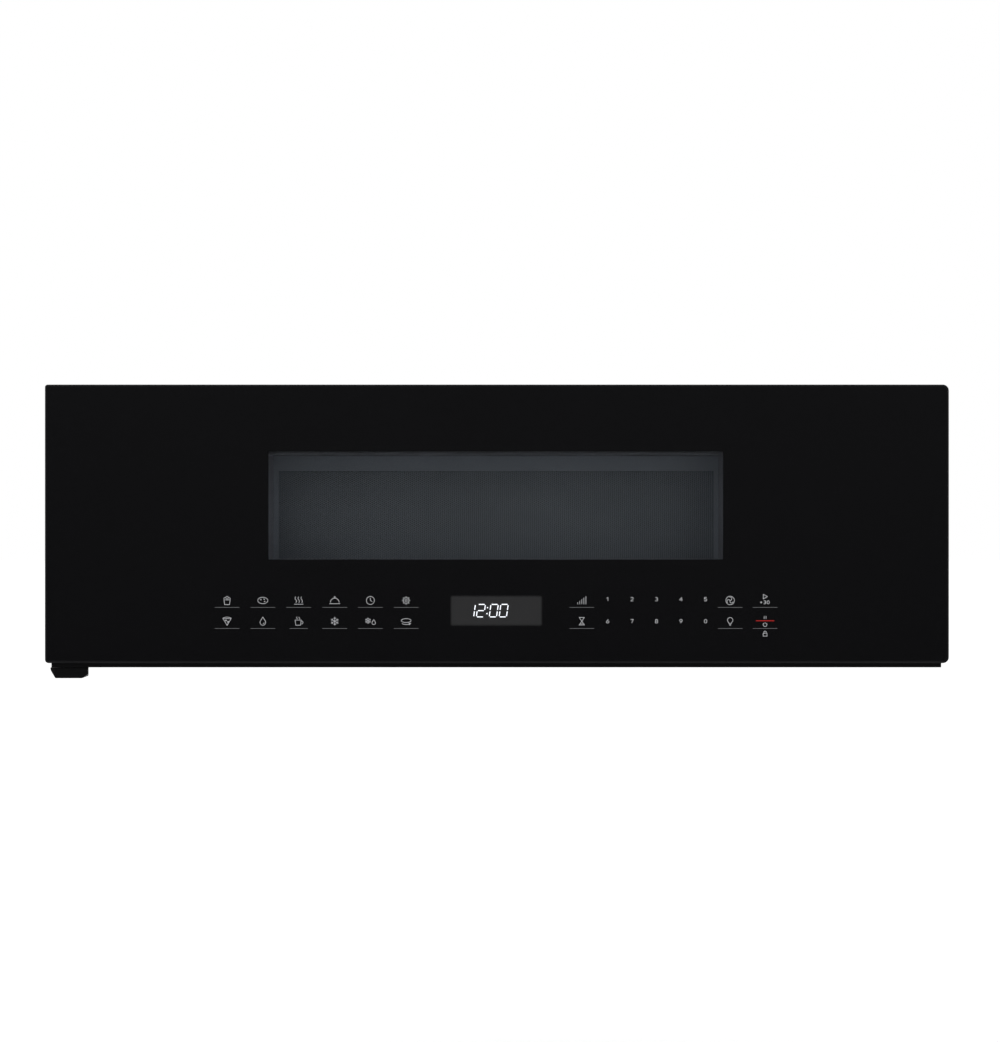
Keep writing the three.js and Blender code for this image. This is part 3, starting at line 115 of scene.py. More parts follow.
def grid(points: Array, wrap_u: bool = False, wrap_v: bool = False, finish: int = 0) -> Shape:
    """Quads over a grid of points P[u, v]: corners (u, v), (u+1, v), (u+1, v+1), (u, v+1).

    Args:
        points: Array of shape (nu, nv, 3).
        wrap_u: Joins the last row to the first.
        wrap_v: Joins the last column to the first.
        finish: Number of the finish on these faces.

    Returns:
        The surface.
    """
    rows, columns = points.shape[:2]
    i, j = np.meshgrid(np.arange(rows - (not wrap_u)), np.arange(columns - (not wrap_v)), indexing="ij")
    here, there = (i % rows) * columns, ((i + 1) % rows) * columns
    left, right = j % columns, (j + 1) % columns
    quads = np.stack([here + left, there + left, there + right, here + right], axis=-1).reshape(-1, 4)
    return Shape(points.reshape(-1, 3), [quads], [finish])


def cap(loop: Array, finish: int = 0) -> Shape:
    """One flat face over a closed loop of points (n, 3)."""
    return Shape(loop, [np.arange(len(loop))[None, :]], [finish])


def rounded(low: Sequence[float], high: Sequence[float], radii: Sequence[float] | float,
            steps: int = 6) -> Array:
    """A rectangle's outline with round corners, counter-clockwise from its lower right corner.

    Each corner c with radius r gives the points c + r (cos a, sin a) over a quarter turn of a.

    Args:
        low: Lowest u and v.
        high: Highest u and v.
        radii: One radius, or those of the lower right, upper right, upper left and lower left corner.
        steps: Facets in each quarter turn.

    Returns:
        Array of shape (4 (steps + 1), 2).
    """
    r = np.full(4, radii, float) if np.isscalar(radii) else np.asarray(radii, float)
    centres = np.array([[high[0] - r[0], low[1] + r[0]], [high[0] - r[1], high[1] - r[1]],
                        [low[0] + r[2], high[1] - r[2]], [low[0] + r[3], low[1] + r[3]]])
    angles = (np.arange(4)[:, None] - 1) * math.pi / 2 + np.linspace(0, math.pi / 2, steps + 1)
    around = np.stack([np.cos(angles), np.sin(angles)], axis=-1)
    return (centres[:, None] + r[:, None, None] * around).reshape(-1, 2)


def on_front(outline: Array, y: float | Array) -> Array:
    """Flat points (u, v) stood up in the XZ plane at a depth y: (u, y, v)."""
    depth = np.broadcast_to(np.asarray(y, float), outline.shape[:-1])
    return np.stack([outline[..., 0], depth, outline[..., 1]], axis=-1)


def on_level(outline: Array, z: float | Array) -> Array:
    """Flat points (u, v) laid in the XY plane at a height z: (u, v, z)."""
    height = np.broadcast_to(np.asarray(z, float), outline.shape[:-1])
    return np.stack([outline[..., 0], outline[..., 1], height], axis=-1)


def lathe(profile: Sequence[Sequence[float]], sides: int) -> Shape:
    """A closed profile (r, z) turned about Z: P(a, t) = (r(t) cos a, r(t) sin a, z(t))."""
    radius, height = np.asarray(profile, float).T
    angle = np.linspace(0, 2 * math.pi, sides, endpoint=False)[:, None]
    points = np.stack([radius * np.cos(angle), radius * np.sin(angle), height + 0 * angle], axis=-1)
    return grid(points, wrap_u=True, wrap_v=True)


def smooth_line(points: Sequence[Sequence[float]], count: int, closed: bool = False) -> Array:
    """A Catmull-Rom curve through points, sampled evenly in its parameter.

    Between p1 and p2: p(t) = p1 + t (p2-p0)/2 + t^2 (2p0-5p1+4p2-p3)/2 + t^3 (3p1-p0-3p2+p3)/2.

    Args:
        points: Points to pass through.
        count: Samples of the whole curve.
        closed: Runs on from the last point to the first.

    Returns:
        Array of shape (count, dimensions).
    """
    known = np.asarray(points, float)
    number = len(known)
    at = np.linspace(0, number if closed else number - 1, count, endpoint=not closed)
    span = np.minimum(at.astype(int), number - (1 if closed else 2))
    t = (at - span)[:, None]
    index = span[:, None] + np.arange(-1, 3)
    index = index % number if closed else np.clip(index, 0, number - 1)
    p0, p1, p2, p3 = (known[index[:, k]] for k in range(4))
    return (p1 + t * (p2 - p0) / 2 + t**2 * (2 * p0 - 5 * p1 + 4 * p2 - p3) / 2
            + t**3 * (3 * p1 - p0 - 3 * p2 + p3) / 2)


def wire(path: Array, radius: float, sides: int = 8) -> Shape:
    """A round bar along a path: P(s, a) = c(s) + radius (cos a n(s) + sin a b(s)).

    n is the part of a fixed direction that is square to the path's tangent t, and b = t x n.
    """
    tangent = np.gradient(path, axis=0)
    tangent /= np.linalg.norm(tangent, axis=1, keepdims=True)
    level = np.abs(tangent[:, 2]).mean() < 0.7
    fixed = np.array([0.21, 0.13, 0.97] if level else [0.97, 0.21, 0.13])
    normal = fixed - (tangent @ fixed)[:, None] * tangent
    normal /= np.linalg.norm(normal, axis=1, keepdims=True)
    across = np.cross(tangent, normal)
    angle = np.linspace(0, 2 * math.pi, sides, endpoint=False)[None, :, None]
    points = path[:, None] + radius * (np.cos(angle) * normal[:, None] + np.sin(angle) * across[:, None])
    return together([grid(points, wrap_v=True), cap(points[0]), cap(points[-1][::-1])])


def ribbons(lines: Iterable[Array], width: float, y: float, finish: int = 0) -> Shape:
    """Flat strokes along lines of points (x, z), facing the front at a depth y.

    A stroke's edges are p +- width/2 m, where m = (n1 + n2) / (1 + n1 . n2) is the mitre of the normals on
    both sides of p. A line whose ends meet is closed.
    """
    strokes = []
    for line in lines:
        closed = bool(np.allclose(line[0], line[-1]))
        path = line[:-1] if closed else line
        step = np.roll(path, -1, 0) - path
        normal = np.stack([-step[:, 1], step[:, 0]], axis=1) / np.linalg.norm(step, axis=1, keepdims=True)
        before = np.roll(normal, 1, 0)
        if not closed:
            normal[-1], before[0] = before[-1], normal[0]
        mitre = (normal + before) / np.maximum(1 + (normal * before).sum(1, keepdims=True), 0.35)
        edges = np.stack([path - mitre * width / 2, path + mitre * width / 2], axis=1)
        strokes.append(grid(on_front(edges, y), wrap_u=closed, finish=finish))
    return together(strokes)


def arc(x: float, z: float, rx: float, rz: float, start: float, end: float, count: int = 14) -> Array:
    """Points on an ellipse: (x + rx cos a, z + rz sin a), a in degrees from start to end."""
    angle = np.radians(np.linspace(start, end, count))
    return np.stack([x + rx * np.cos(angle), z + rz * np.sin(angle)], axis=1)


def ring(x: float, z: float, radius: float, count: int) -> Array:
    """Points round a circle, the last on the first."""
    return arc(x, z, radius, radius, 0, 360, count)


def polyline(*points: Sequence[float]) -> Array:
    """A broken line through points."""
    return np.array(points, float)


def joined(*parts: Any) -> Array:
    """Several runs of points as one line."""
    return np.concatenate([np.atleast_2d(np.array(part, float)) for part in parts])


# ------------------------------------------------------------------ node trees


class Tree:
    """Short calls for the nodes and links of one shader tree."""

    def __init__(self, tree: bpy.types.NodeTree) -> None:
        """Keeps the tree."""
        self.tree = tree

    def node(self, kind: str, inputs: dict[Any, Any] | None = None, **settings: Any) -> bpy.types.Node:
        """Adds a node.

        Args:
            kind: Node type without its ShaderNode prefix.
            inputs: What fills its sockets, by their names or numbers.
            settings: Properties of the node.

        Returns:
            The new node.
        """
        made = self.tree.nodes.new(kind if kind.startswith("Node") else "ShaderNode" + kind)
        for name, value in settings.items():
            setattr(made, name, value)
        self.feed(made, inputs or {})
        return made

    def feed(self, node: bpy.types.Node, inputs: dict[Any, Any]) -> None:
        """Fills a node's inputs: a value that is a socket is linked, any other is set."""
        for key, value in inputs.items():
            if isinstance(value, bpy.types.NodeSocket):
                self.tree.links.new(value, node.inputs[key])
            else:
                node.inputs[key].default_value = value

    def math(self, operation: str, first: Any, second: Any = 0.0) -> bpy.types.NodeSocket:
        """The result of a Math node."""
        return self.node("Math", {0: first, 1: second}, operation=operation).outputs[0]

    def noise(self, vector: Any, scale: Any, detail: float = 3.0) -> bpy.types.NodeSocket:
        """The value of a noise texture."""
        return self.node("TexNoise", {"Vector": vector, "Scale": scale, "Detail": detail}).outputs["Fac"]

    def ramp(self, value: Any, low: float, high: float, out_low: float = 0.0, out_high: float = 1.0) -> Any:
        """A value carried from one range to another, held at the ends."""
        return self.node("MapRange", {0: value, 1: low, 2: high, 3: out_low, 4: out_high}).outputs[0]

    def mix(self, share: Any, first: Any, second: Any) -> bpy.types.NodeSocket:
        """Two colours mixed."""
        return self.node("Mix", {0: share, 6: first, 7: second}, data_type="RGBA").outputs[2]


class Pattern(Enum):
    """How a finish varies over a surface."""

    MOULDED = "moulded"
    POWDER = "powder"
    SPANGLE = "spangle"
    BRUSHED = "brushed"
    ENAMEL = "enamel"
    BOARD = "board"
    LAMINATED = "laminated"
    GRANULES = "granules"


def linear(red: float, green: float, blue: float) -> Color:
    """A colour from its display values, 0 to 255, to the linear values of a shader."""
    value = np.array([red, green, blue]) / 255
    return tuple(np.where(value <= 0.04045, value / 12.92, ((value + 0.055) / 1.055) ** 2.4).tolist())


def new_group(name: str, inputs: dict[str, str], outputs: dict[str, str]) -> tuple[Tree, Any, Any]:
    """An empty shader group with named sockets.

    Args:
        name: Name of the group.
        inputs: Socket kinds by name, such as Color, Float or Vector.
        outputs: The same for the outputs.

    Returns:
        The group's tree, its input node and its output node.
    """
    group = bpy.data.node_groups.new(name, "ShaderNodeTree")
    for direction, sockets in (("INPUT", inputs), ("OUTPUT", outputs)):
        for socket, kind in sockets.items():
            group.interface.new_socket(name=socket, in_out=direction, socket_type="NodeSocket" + kind)
    tree = Tree(group)
    return tree, tree.node("NodeGroupInput"), tree.node("NodeGroupOutput")


class Surfaces:
    """The shader groups that the finishes share, each built once."""

    INPUTS = {"Vector": "Vector", "Color": "Color", "Accent": "Color", "Roughness": "Float", "Size": "Float"}
    OUTPUTS = {"Color": "Color", "Roughness": "Float", "Height": "Float"}

    def __init__(self) -> None:
        """Starts with no group built."""
        self.built: dict[str, bpy.types.NodeTree] = {}

    def handling(self) -> bpy.types.NodeTree:
        """Faint broad clouding of colour and gloss, as on any part that was handled and wiped."""
        if "handling" not in self.built:
            outputs = {"Color": "Color", "Roughness": "Float"}
            tree, given, out = new_group("handling", {"Vector": "Vector", **outputs}, outputs)
            broad = tree.noise(given.outputs["Vector"], 9.0, 4.0)
            fine = tree.noise(given.outputs["Vector"], 70.0, 2.0)
            both = tree.math("ADD", tree.math("MULTIPLY", broad, 0.65), tree.math("MULTIPLY", fine, 0.35))
            shade = tree.ramp(both, 0.3, 0.7, 0.94, 1.06)
            color = tree.node("VectorMath", {0: given.outputs["Color"], "Scale": shade}, operation="SCALE")
            gloss = tree.ramp(both, 0.3, 0.7, -0.035, 0.035)
            rough = tree.math("ADD", given.outputs["Roughness"], gloss)
            tree.feed(out, {"Color": color.outputs[0], "Roughness": rough})
            self.built["handling"] = tree.tree
        return self.built["handling"]

    def pattern(self, kind: Pattern) -> bpy.types.NodeTree:
        """The group of one pattern.

        Args:
            kind: Which pattern.

        Returns:
            Its node tree, with the inputs and outputs of this class.
        """
        if kind.value in self.built:
            return self.built[kind.value]
        tree, given, out = new_group(kind.value, self.INPUTS, self.OUTPUTS)
        size = tree.math("DIVIDE", 1000.0, given.outputs["Size"])
        where, color, accent = (given.outputs[name] for name in ("Vector", "Color", "Accent"))
        share, height = getattr(self, "_" + kind.value)(tree, where, size)
        mixed = tree.mix(share, color, accent)
        rough = tree.math("ADD", given.outputs["Roughness"], tree.ramp(height, 0.0, 1.0, -0.03, 0.05))
        worn = tree.node("Group", {"Vector": where, "Color": mixed, "Roughness": rough},
                         node_tree=self.handling())
        tree.feed(out, {"Color": worn.outputs["Color"], "Roughness": worn.outputs["Roughness"],
                        "Height": height})
        self.built[kind.value] = tree.tree
        return tree.tree

    @staticmethod
    def _moulded(tree: Tree, where: Any, size: Any) -> tuple[Any, Any]:
        """Fine spark-eroded grain of a moulding."""
        grain = tree.noise(where, size, 4.0)
        return tree.ramp(grain, 0.4, 0.7, 0.0, 0.25), grain

    @staticmethod
    def _powder(tree: Tree, where: Any, size: Any) -> tuple[Any, Any]:
        """Orange peel of a powder coat, with a few brighter specks."""
        peel = tree.noise(where, size, 2.0)
        speck = tree.node("TexVoronoi", {"Vector": where, "Scale": 900.0}).outputs["Distance"]
        return tree.ramp(speck, 0.0, 0.16, 0.35, 0.0), peel

    @staticmethod
    def _spangle(tree: Tree, where: Any, size: Any) -> tuple[Any, Any]:
        """Zinc crystals: flat cells, each of its own shade."""
        cells = tree.node("TexVoronoi", {"Vector": where, "Scale": size, "Randomness": 1.0})
        shade = tree.node("SeparateColor", {0: cells.outputs["Color"]}).outputs[0]
        return tree.ramp(shade, 0.0, 1.0, 0.0, 0.8), tree.ramp(shade, 0.0, 1.0, 0.2, 0.8)

    @staticmethod
    def _brushed(tree: Tree, where: Any, size: Any) -> tuple[Any, Any]:
        """Rolling marks drawn out along X."""
        drawn = tree.node("VectorMath", {0: where, 1: (0.02, 1.0, 1.0)}, operation="MULTIPLY").outputs[0]
        marks = tree.noise(drawn, size, 3.0)
        return tree.ramp(marks, 0.35, 0.7, 0.0, 0.7), marks

    @staticmethod
    def _enamel(tree: Tree, where: Any, size: Any) -> tuple[Any, Any]:
        """Gently rippled fired enamel with fine pale flecks."""
        ripple = tree.noise(where, size, 1.0)
        fleck = tree.node("TexVoronoi", {"Vector": where, "Scale": 520.0}).outputs["Distance"]
        return tree.ramp(fleck, 0.05, 0.16, 0.8, 0.0), ripple

    @staticmethod
    def _board(tree: Tree, where: Any, size: Any) -> tuple[Any, Any]:
        """Copper tracks that show as stepped bands through the solder mask."""
        bent = tree.noise(where, 90.0, 0.0)
        bands = tree.math("FRACT", tree.math("MULTIPLY", bent, 9.0))
        track = tree.ramp(bands, 0.46, 0.54)
        return tree.math("MULTIPLY", track, 0.7), track

    @staticmethod
    def _laminated(tree: Tree, where: Any, size: Any) -> tuple[Any, Any]:
        """Stacked sheets: thin lines at even steps along Y."""
        along = tree.node("SeparateXYZ", {0: where}).outputs[1]
        step = tree.math("FRACT", tree.math("MULTIPLY", along, size))
        line = tree.ramp(step, 0.0, 0.35, 1.0, 0.0)
        return line, tree.math("SUBTRACT", 1.0, line)

    @staticmethod
    def _granules(tree: Tree, where: Any, size: Any) -> tuple[Any, Any]:
        """A packed bed of small grains."""
        cells = tree.node("TexVoronoi", {"Vector": where, "Scale": size})
        return tree.ramp(cells.outputs["Distance"], 0.0, 0.6, 0.5, 0.0), cells.outputs["Distance"]


SURFACES = Surfaces()
ACCENT_GAIN = 1.35  # a finish without an accent colour varies towards this many times its own
BUMP_STRENGTH = 0.6
GLASS_IOR = 1.5


def new_material(name: str) -> tuple[bpy.types.Material, Tree, bpy.types.Node]:
    """A material with its tree and its one shader."""
    material = bpy.data.materials.new(name + "_finish")
    material.use_nodes = True
    return material, Tree(material.node_tree), material.node_tree.nodes["Principled BSDF"]


@dataclass(frozen=True)
class Coating:
    """What a surface is finished with."""

    name: str

    def material(self) -> bpy.types.Material:
        """The one material of this name, built at its first use."""
        known = bpy.data.materials.get(self.name + "_finish")
        if known:
            return known
        material, tree, shader = new_material(self.name)
        self.dress(tree, shader)
        return material

    def dress(self, tree: Tree, shader: bpy.types.Node) -> None:
        """Sets up the shader, in the way of each kind of finish."""
        raise NotImplementedError


@dataclass(frozen=True)
class Finish(Coating):
    """An opaque finish: two colours mixed by a fine pattern, its gloss, and its relief."""

    color: Color
    pattern: Pattern
    roughness: float
    accent: Color | None = None
    metallic: float = 0.0
    size: float = 0.5
    relief: float = 0.02
    specular: float = 0.5

    def dress(self, tree: Tree, shader: bpy.types.Node) -> None:
        """Feeds the pattern's colour, gloss and relief into the shader."""
        accent = self.accent or tuple(min(1, value * ACCENT_GAIN) for value in self.color)
        where = tree.node("TexCoord").outputs["Object"]
        group = tree.node("Group", {"Vector": where, "Color": (*self.color, 1), "Accent": (*accent, 1),
                                    "Roughness": self.roughness, "Size": self.size},
                          node_tree=SURFACES.pattern(self.pattern))
        bump = tree.node("Bump", {"Strength": BUMP_STRENGTH, "Distance": self.relief * MM,
                                  "Height": group.outputs["Height"]})
        tree.feed(shader, {"Base Color": group.outputs["Color"], "Roughness": group.outputs["Roughness"],
                           "Normal": bump.outputs["Normal"], "Metallic": self.metallic,
                           "Specular IOR Level": self.specular})


@dataclass(frozen=True)
class Glazing(Coating):
    """Glass: its tint, how much of what is behind it shows, and its gloss."""

    color: Color
    roughness: float = 0.03
    transmission: float = 0.0
    opacity: float = 1.0
    ripple: float = 0.0
    specular: float = 0.5

    def material(self) -> bpy.types.Material:
        """The glass's material, blended where what is behind it shows."""
        material = super().material()
        material.surface_render_method = "BLENDED" if self.opacity < 1 else "DITHERED"
        return material

    def dress(self, tree: Tree, shader: bpy.types.Node) -> None:
        """Tint and gloss, with a faint film of wipe marks in the gloss."""
        where = tree.node("TexCoord").outputs["Object"]
        worn = tree.node("Group", {"Vector": where, "Color": (*self.color, 1)}, node_tree=SURFACES.handling())
        film = tree.ramp(tree.noise(where, 24.0, 5.0), 0.45, 0.75, self.roughness, self.roughness + 0.035)
        tree.feed(shader, {"Base Color": worn.outputs["Color"], "Roughness": film,
                           "Transmission Weight": self.transmission, "Alpha": self.opacity, "IOR": GLASS_IOR,
                           "Specular IOR Level": self.specular})
        if self.ripple:
            waves = tree.noise(where, 140.0, 1.0)
            bump = tree.node("Bump", {"Strength": 0.5, "Distance": self.ripple * MM, "Height": waves})
            tree.feed(shader, {"Normal": bump.outputs["Normal"]})


@dataclass(frozen=True)
class Glow(Coating):
    """Shining print: on the clock's segments and the lamp chip this is their own light; on the printed ink,
    which no lamp lights, it is painted glow.
    """

    color: Color
    strength: float

    def dress(self, tree: Tree, shader: bpy.types.Node) -> None:
        """Emission that is slightly uneven, as behind a diffuser; on the printed ink it is painted glow."""
        where = tree.node("TexCoord").outputs["Object"]
        uneven = tree.ramp(tree.noise(where, 160.0, 2.0), 0.3, 0.7, 0.9, 1.0)
        lit = tree.node("VectorMath", {0: self.color, "Scale": uneven}, operation="SCALE").outputs[0]
        tree.feed(shader, {"Base Color": lit, "Emission Color": lit, "Emission Strength": self.strength,
                           "Roughness": 0.4, "Specular IOR Level": 0.1})


class Look:
    """Every finish of the microwave, by what it is."""

    black_glass = Glazing("black_glass", (0.0038, 0.0038, 0.0044), 0.02)
    smoked_glass = Glazing("smoked_glass", (0.006, 0.007, 0.008), 0.02, opacity=0.30)
    glass_edge = Glazing("glass_edge", (0.0070, 0.0070, 0.0078), 0.34, specular=0.05)
    clear_glass = Glazing("clear_glass", (0.93, 0.97, 0.96), 0.02, transmission=1.0)
    lens_glass = Glazing("lens_glass", (0.92, 0.95, 0.95), 0.12, transmission=0.9, ripple=0.2)
    black_paint = Finish("black_paint", linear(17, 17, 18), Pattern.POWDER, 0.46, linear(40, 40, 42),
                         size=0.9, specular=0.35)
    black_plastic = Finish("black_plastic", linear(10, 10, 11), Pattern.MOULDED, 0.5, linear(18, 18, 19),
                           size=0.35, specular=0.06)
    tunnel_plastic = Finish("tunnel_plastic", linear(132, 135, 143), Pattern.MOULDED, 0.6, size=0.35)
    foam = Finish("window_foam", linear(112, 115, 122), Pattern.GRANULES, 0.9, linear(96, 98, 104), size=0.6)
    black_rubber = Finish("black_rubber", linear(24, 24, 24), Pattern.MOULDED, 0.75, size=0.5)
    white_plastic = Finish("white_plastic", linear(222, 222, 214), Pattern.MOULDED, 0.45,
                           linear(232, 232, 226))
    enamel = Finish("cavity_enamel", linear(112, 115, 117), Pattern.ENAMEL, 0.4, linear(150, 153, 155),
                    size=14, relief=0.015)
    galvanised = Finish("galvanised_steel", linear(150, 155, 158), Pattern.SPANGLE, 0.42,
                        linear(176, 181, 184), metallic=1.0, size=5)
    bare_steel = Finish("bare_steel", linear(150, 152, 154), Pattern.BRUSHED, 0.34, linear(178, 179, 181),
                        metallic=1.0, size=0.5)
    aluminium = Finish("aluminium", linear(174, 176, 178), Pattern.BRUSHED, 0.38, linear(202, 203, 204),
                       metallic=1.0, size=0.5)
    laminations = Finish("laminations", linear(74, 70, 68), Pattern.LAMINATED, 0.5, linear(30, 28, 28),
                         size=0.6)
    copper = Finish("copper_winding", linear(186, 104, 58), Pattern.LAMINATED, 0.35, linear(110, 56, 30),
                    metallic=0.9, size=0.9, relief=0.1)
    board = Finish("circuit_board", linear(30, 92, 58), Pattern.BOARD, 0.4, linear(70, 132, 84), relief=0.03)
    mica = Finish("mica", linear(196, 184, 150), Pattern.MOULDED, 0.55, linear(222, 212, 182), size=3)
    charcoal = Finish("charcoal", linear(34, 34, 35), Pattern.GRANULES, 0.85, linear(62, 62, 64), size=1.6,
                      relief=0.3)
    screen = Finish("screen_paint", linear(146, 154, 163), Pattern.POWDER, 0.5, linear(159, 166, 174),
                    size=0.8)
    # the plain band is the same painted sheet as the field, a shade lighter: a painted highlight
    border = Finish("screen_border", linear(156, 164, 174), Pattern.POWDER, 0.5, linear(169, 176, 185),
                    size=0.8)
    lens_white = Finish("reflector_white", linear(232, 232, 228), Pattern.MOULDED, 0.35, size=0.6)
    # the three inks shine a little by themselves though no lamp is behind them: painted glow that brightens
    # the print
    print_ink = Glow("print_ink", linear(196, 197, 200), 0.18)
    line_ink = Glow("line_ink", linear(112, 113, 115), 0.10)
    red_ink = Glow("red_ink", linear(176, 38, 36), 0.14)
    digits = Glow("clock_digits", linear(236, 240, 246), 0.8)
    led = Glow("lamp_chip", linear(250, 244, 214), 0.2)


class Zone:
    """Boxes (x0, x1, y0, y1, z0, z1) in millimetres round the faces that take a solid's second finish."""

    window_tunnel: Box = (-196, 194, -459, -420, -31, 66.5)
    touch_cover: Box = (-300, 300, -457.5, -440, -110, -40)
    charcoal: Box = (-239, 239, -398, -387, 94, 108.5)
    switch_button: Box = (260, 280, -370.5, -362, -60, 60)
    lamp_bulb: Box = (-320, -308, -310, -240, 0, 80)
    lamp_chip: Box = (-100, 100, -348, -342, -111.6, -109.9)
    blower_can: Box = (-35, -15, -90, -10, 20, 95)
    fan_winding: Box = (286, 320, -80, -30, -60, -17)
    magnetron_fins: Box = (262, 330, -240, -160, -54, 14)
    front_winding: Box = (290, 342, -390, -371, -100, -50)
    rear_winding: Box = (290, 342, -309, -290, -100, -50)
    diode_lead: Box = (317, 334, -215, -200, -120, -100)
    choke_coil: Box = (324, 352, -45, -31, 80, 106)
    board_parts: Box = (280, 370, -405, -260, 34.5, 70)


# ------------------------------------------------------------------ pieces


@dataclass
class Workshop:
    """Turns shapes and copies of solids into pieces that ride on their bodies."""

    frame: dict[str, Any]

    def piece(self, name: str, shape: Shape, body: str, finishes: Sequence[Coating], slot: str,
              replaces: Sequence[str] = (), closed: bool = True, angle: float = 35.0) -> bpy.types.Object:
        """A new piece at the origin, unturned and unscaled.

        Args:
            name: Its name.
            shape: Its surface in millimetres.
            body: The body that it rides on.
            finishes: Finishes by the numbers in the shape.
            slot: The record's material slot; not used.
            replaces: Solids that it stands for.
            closed: Its doubles are merged and its faces turned outwards.
            angle: Edges sharper than this stay sharp.

        Returns:
            The object.
        """
        mesh = bpy.data.meshes.new(name)
        rows = [face for block in shape.faces for face in block.tolist()]
        mesh.from_pydata((shape.points * MM).tolist(), [], rows)
        numbers = np.concatenate([np.full(len(b), n) for b, n in zip(shape.faces, shape.finishes)])
        mesh.polygons.foreach_set("material_index", numbers.astype(np.int32))
        for finish in finishes:
            mesh.materials.append(finish.material())
        if closed:
            bulk = bmesh.new()
            bulk.from_mesh(mesh)
            bmesh.ops.remove_doubles(bulk, verts=bulk.verts, dist=1e-6)
            bmesh.ops.dissolve_degenerate(bulk, edges=bulk.edges, dist=1e-7)
            bmesh.ops.recalc_face_normals(bulk, faces=bulk.faces)
            bulk.to_mesh(mesh)
            bulk.free()
        return self._place(name, mesh, body, replaces, angle)

    def refined(self, node: str, finishes: Sequence[Coating], zones: Sequence[Box] = (),
                bevel: float = 0.35, angle: float = 40.0) -> bpy.types.Object:
        """A merged copy of a solid with whole flat faces, rounded edges and smooth curves, in its place.

        Args:
            node: The solid's name.
            finishes: Its general finish and, where it has zones, theirs.
            zones: Boxes (x0, x1, y0, y1, z0, z1) in millimetres whose faces take the second finish.
            bevel: Width of the rounded edges in millimetres.
            angle: Only edges sharper than this are rounded.

        Returns:
            The object.
        """
        source = self.frame["nodes"][node]
        bulk = bmesh.new()
        bulk.from_mesh(source.data)
        bmesh.ops.remove_doubles(bulk, verts=bulk.verts, dist=2e-6)
        bmesh.ops.dissolve_limit(bulk, angle_limit=math.radians(1.0), verts=bulk.verts, edges=bulk.edges)
        mesh = bpy.data.meshes.new(node + "_finished")
        bulk.to_mesh(mesh)
        bulk.free()
        for finish in finishes:
            mesh.materials.append(finish.material())
        centres = np.empty(len(mesh.polygons) * 3)
        mesh.polygons.foreach_get("center", centres)
        centres = centres.reshape(-1, 3) / MM
        numbers = np.zeros(len(centres), np.int32)
        for box in zones:
            low, high = np.asarray(box, float).reshape(3, 2).T
            numbers[((centres >= low) & (centres <= high)).all(axis=1)] = 1
        mesh.polygons.foreach_set("material_index", numbers)
        piece = self._place(node + "_finished", mesh, source["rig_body"], [node], angle)
        if bevel:
            rounding = piece.modifiers.new("rounding", "BEVEL")
            rounding.width = bevel * MM
            rounding.segments = 2
            rounding.limit_method = "ANGLE"
            rounding.angle_limit = math.radians(angle)
            rounding.harden_normals = True
        return piece

    def _place(self, name: str, mesh: bpy.types.Mesh, body: str, replaces: Sequence[str],
               angle: float) -> bpy.types.Object:
        """Shades a mesh, links it and hangs it on its body."""
        mesh.polygons.foreach_set("use_smooth", np.ones(len(mesh.polygons), bool))
        mesh.set_sharp_from_angle(angle=math.radians(angle))
        mesh.validate()
        mesh.update()
        piece = bpy.data.objects.new(name, mesh)
        bpy.context.scene.collection.objects.link(piece)
        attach(piece, body)
        if replaces:
            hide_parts(*replaces)
        LOG.info("%s on %s: %d faces", name, body, len(mesh.polygons))
        return piece


@dataclass(frozen=True)
class Screw:
    """A pan-head screw with a cross recess, its axis along Z and its seat at height 0."""

    radius: float = 3.6
    height: float = 1.9

    def shape(self) -> Shape:
        """Rings of 12 points from the seat over the dome to the cross, then down its walls to its floor.

        The cross's corners lie at the same angles as the rings' points, so no face is twisted.
        """
        arm, reach = 0.09 * self.radius, 0.38 * self.radius
        quarter = np.array([[reach, -arm], [reach, arm], [arm, arm]])
        cross = [quarter]
        for _ in range(3):
            cross.append(np.stack([-cross[-1][:, 1], cross[-1][:, 0]], axis=1))
        cross = np.concatenate(cross)
        angle = np.arctan2(cross[:, 1], cross[:, 0])
        circle = np.stack([np.cos(angle), np.sin(angle)], axis=1)
        rings = [on_level(circle * r * self.radius, h * self.height)
                 for r, h in ((1.0, 0.0), (1.0, 0.35), (0.93, 0.62), (0.76, 0.86), (0.5, 1.0))]
        rings += [on_level(cross, self.height), on_level(cross * 0.8, 0.45 * self.height)]
        return together([grid(np.stack(rings), wrap_v=True), cap(rings[0]), cap(rings[-1])])

    def at(self, places: Sequence[Sequence[float]], normal: str) -> Shape:
        """Copies of the screw at places (x, y, z) whose heads face a direction such as +X or -Z."""
        sign = 1.0 if normal[0] == "+" else -1.0
        frames = {"X": [[0, 0, 1], [1, 0, 0], [0, 1, 0]], "Y": [[1, 0, 0], [0, 0, 1], [0, 1, 0]],
                  "Z": [[1, 0, 0], [0, 1, 0], [0, 0, 1]]}
        matrix = np.array(frames[normal[1]], float)
        matrix["XYZ".index(normal[1])] *= sign
        head = self.shape().turned(matrix)
        return together([head.moved(place) for place in places])


# ------------------------------------------------------------------ control print


class Icon(Enum):
    """Plain pictures on the touch keys, as lines in a box about 9 mm wide and 7 mm high."""

    BAG = 0
    TUBER = 1
    REHEAT = 2
    PLATE = 3
    CLOCK = 4
    GEAR = 5
    SLICE = 6
    DROP = 7
    CUP = 8
    FROST = 9
    THAW = 10
    TRAY = 11
    BARS = 12
    HOURGLASS = 13
    FAN = 14
    LAMP = 15
    START = 16
    PLUS = 17
    PAUSE = 18
    OFF = 19
    LOCK = 20

    def lines(self) -> list[Array]:
        """The icon's lines, in millimetres about its centre."""
        return getattr(Drawings, self.name.lower())()


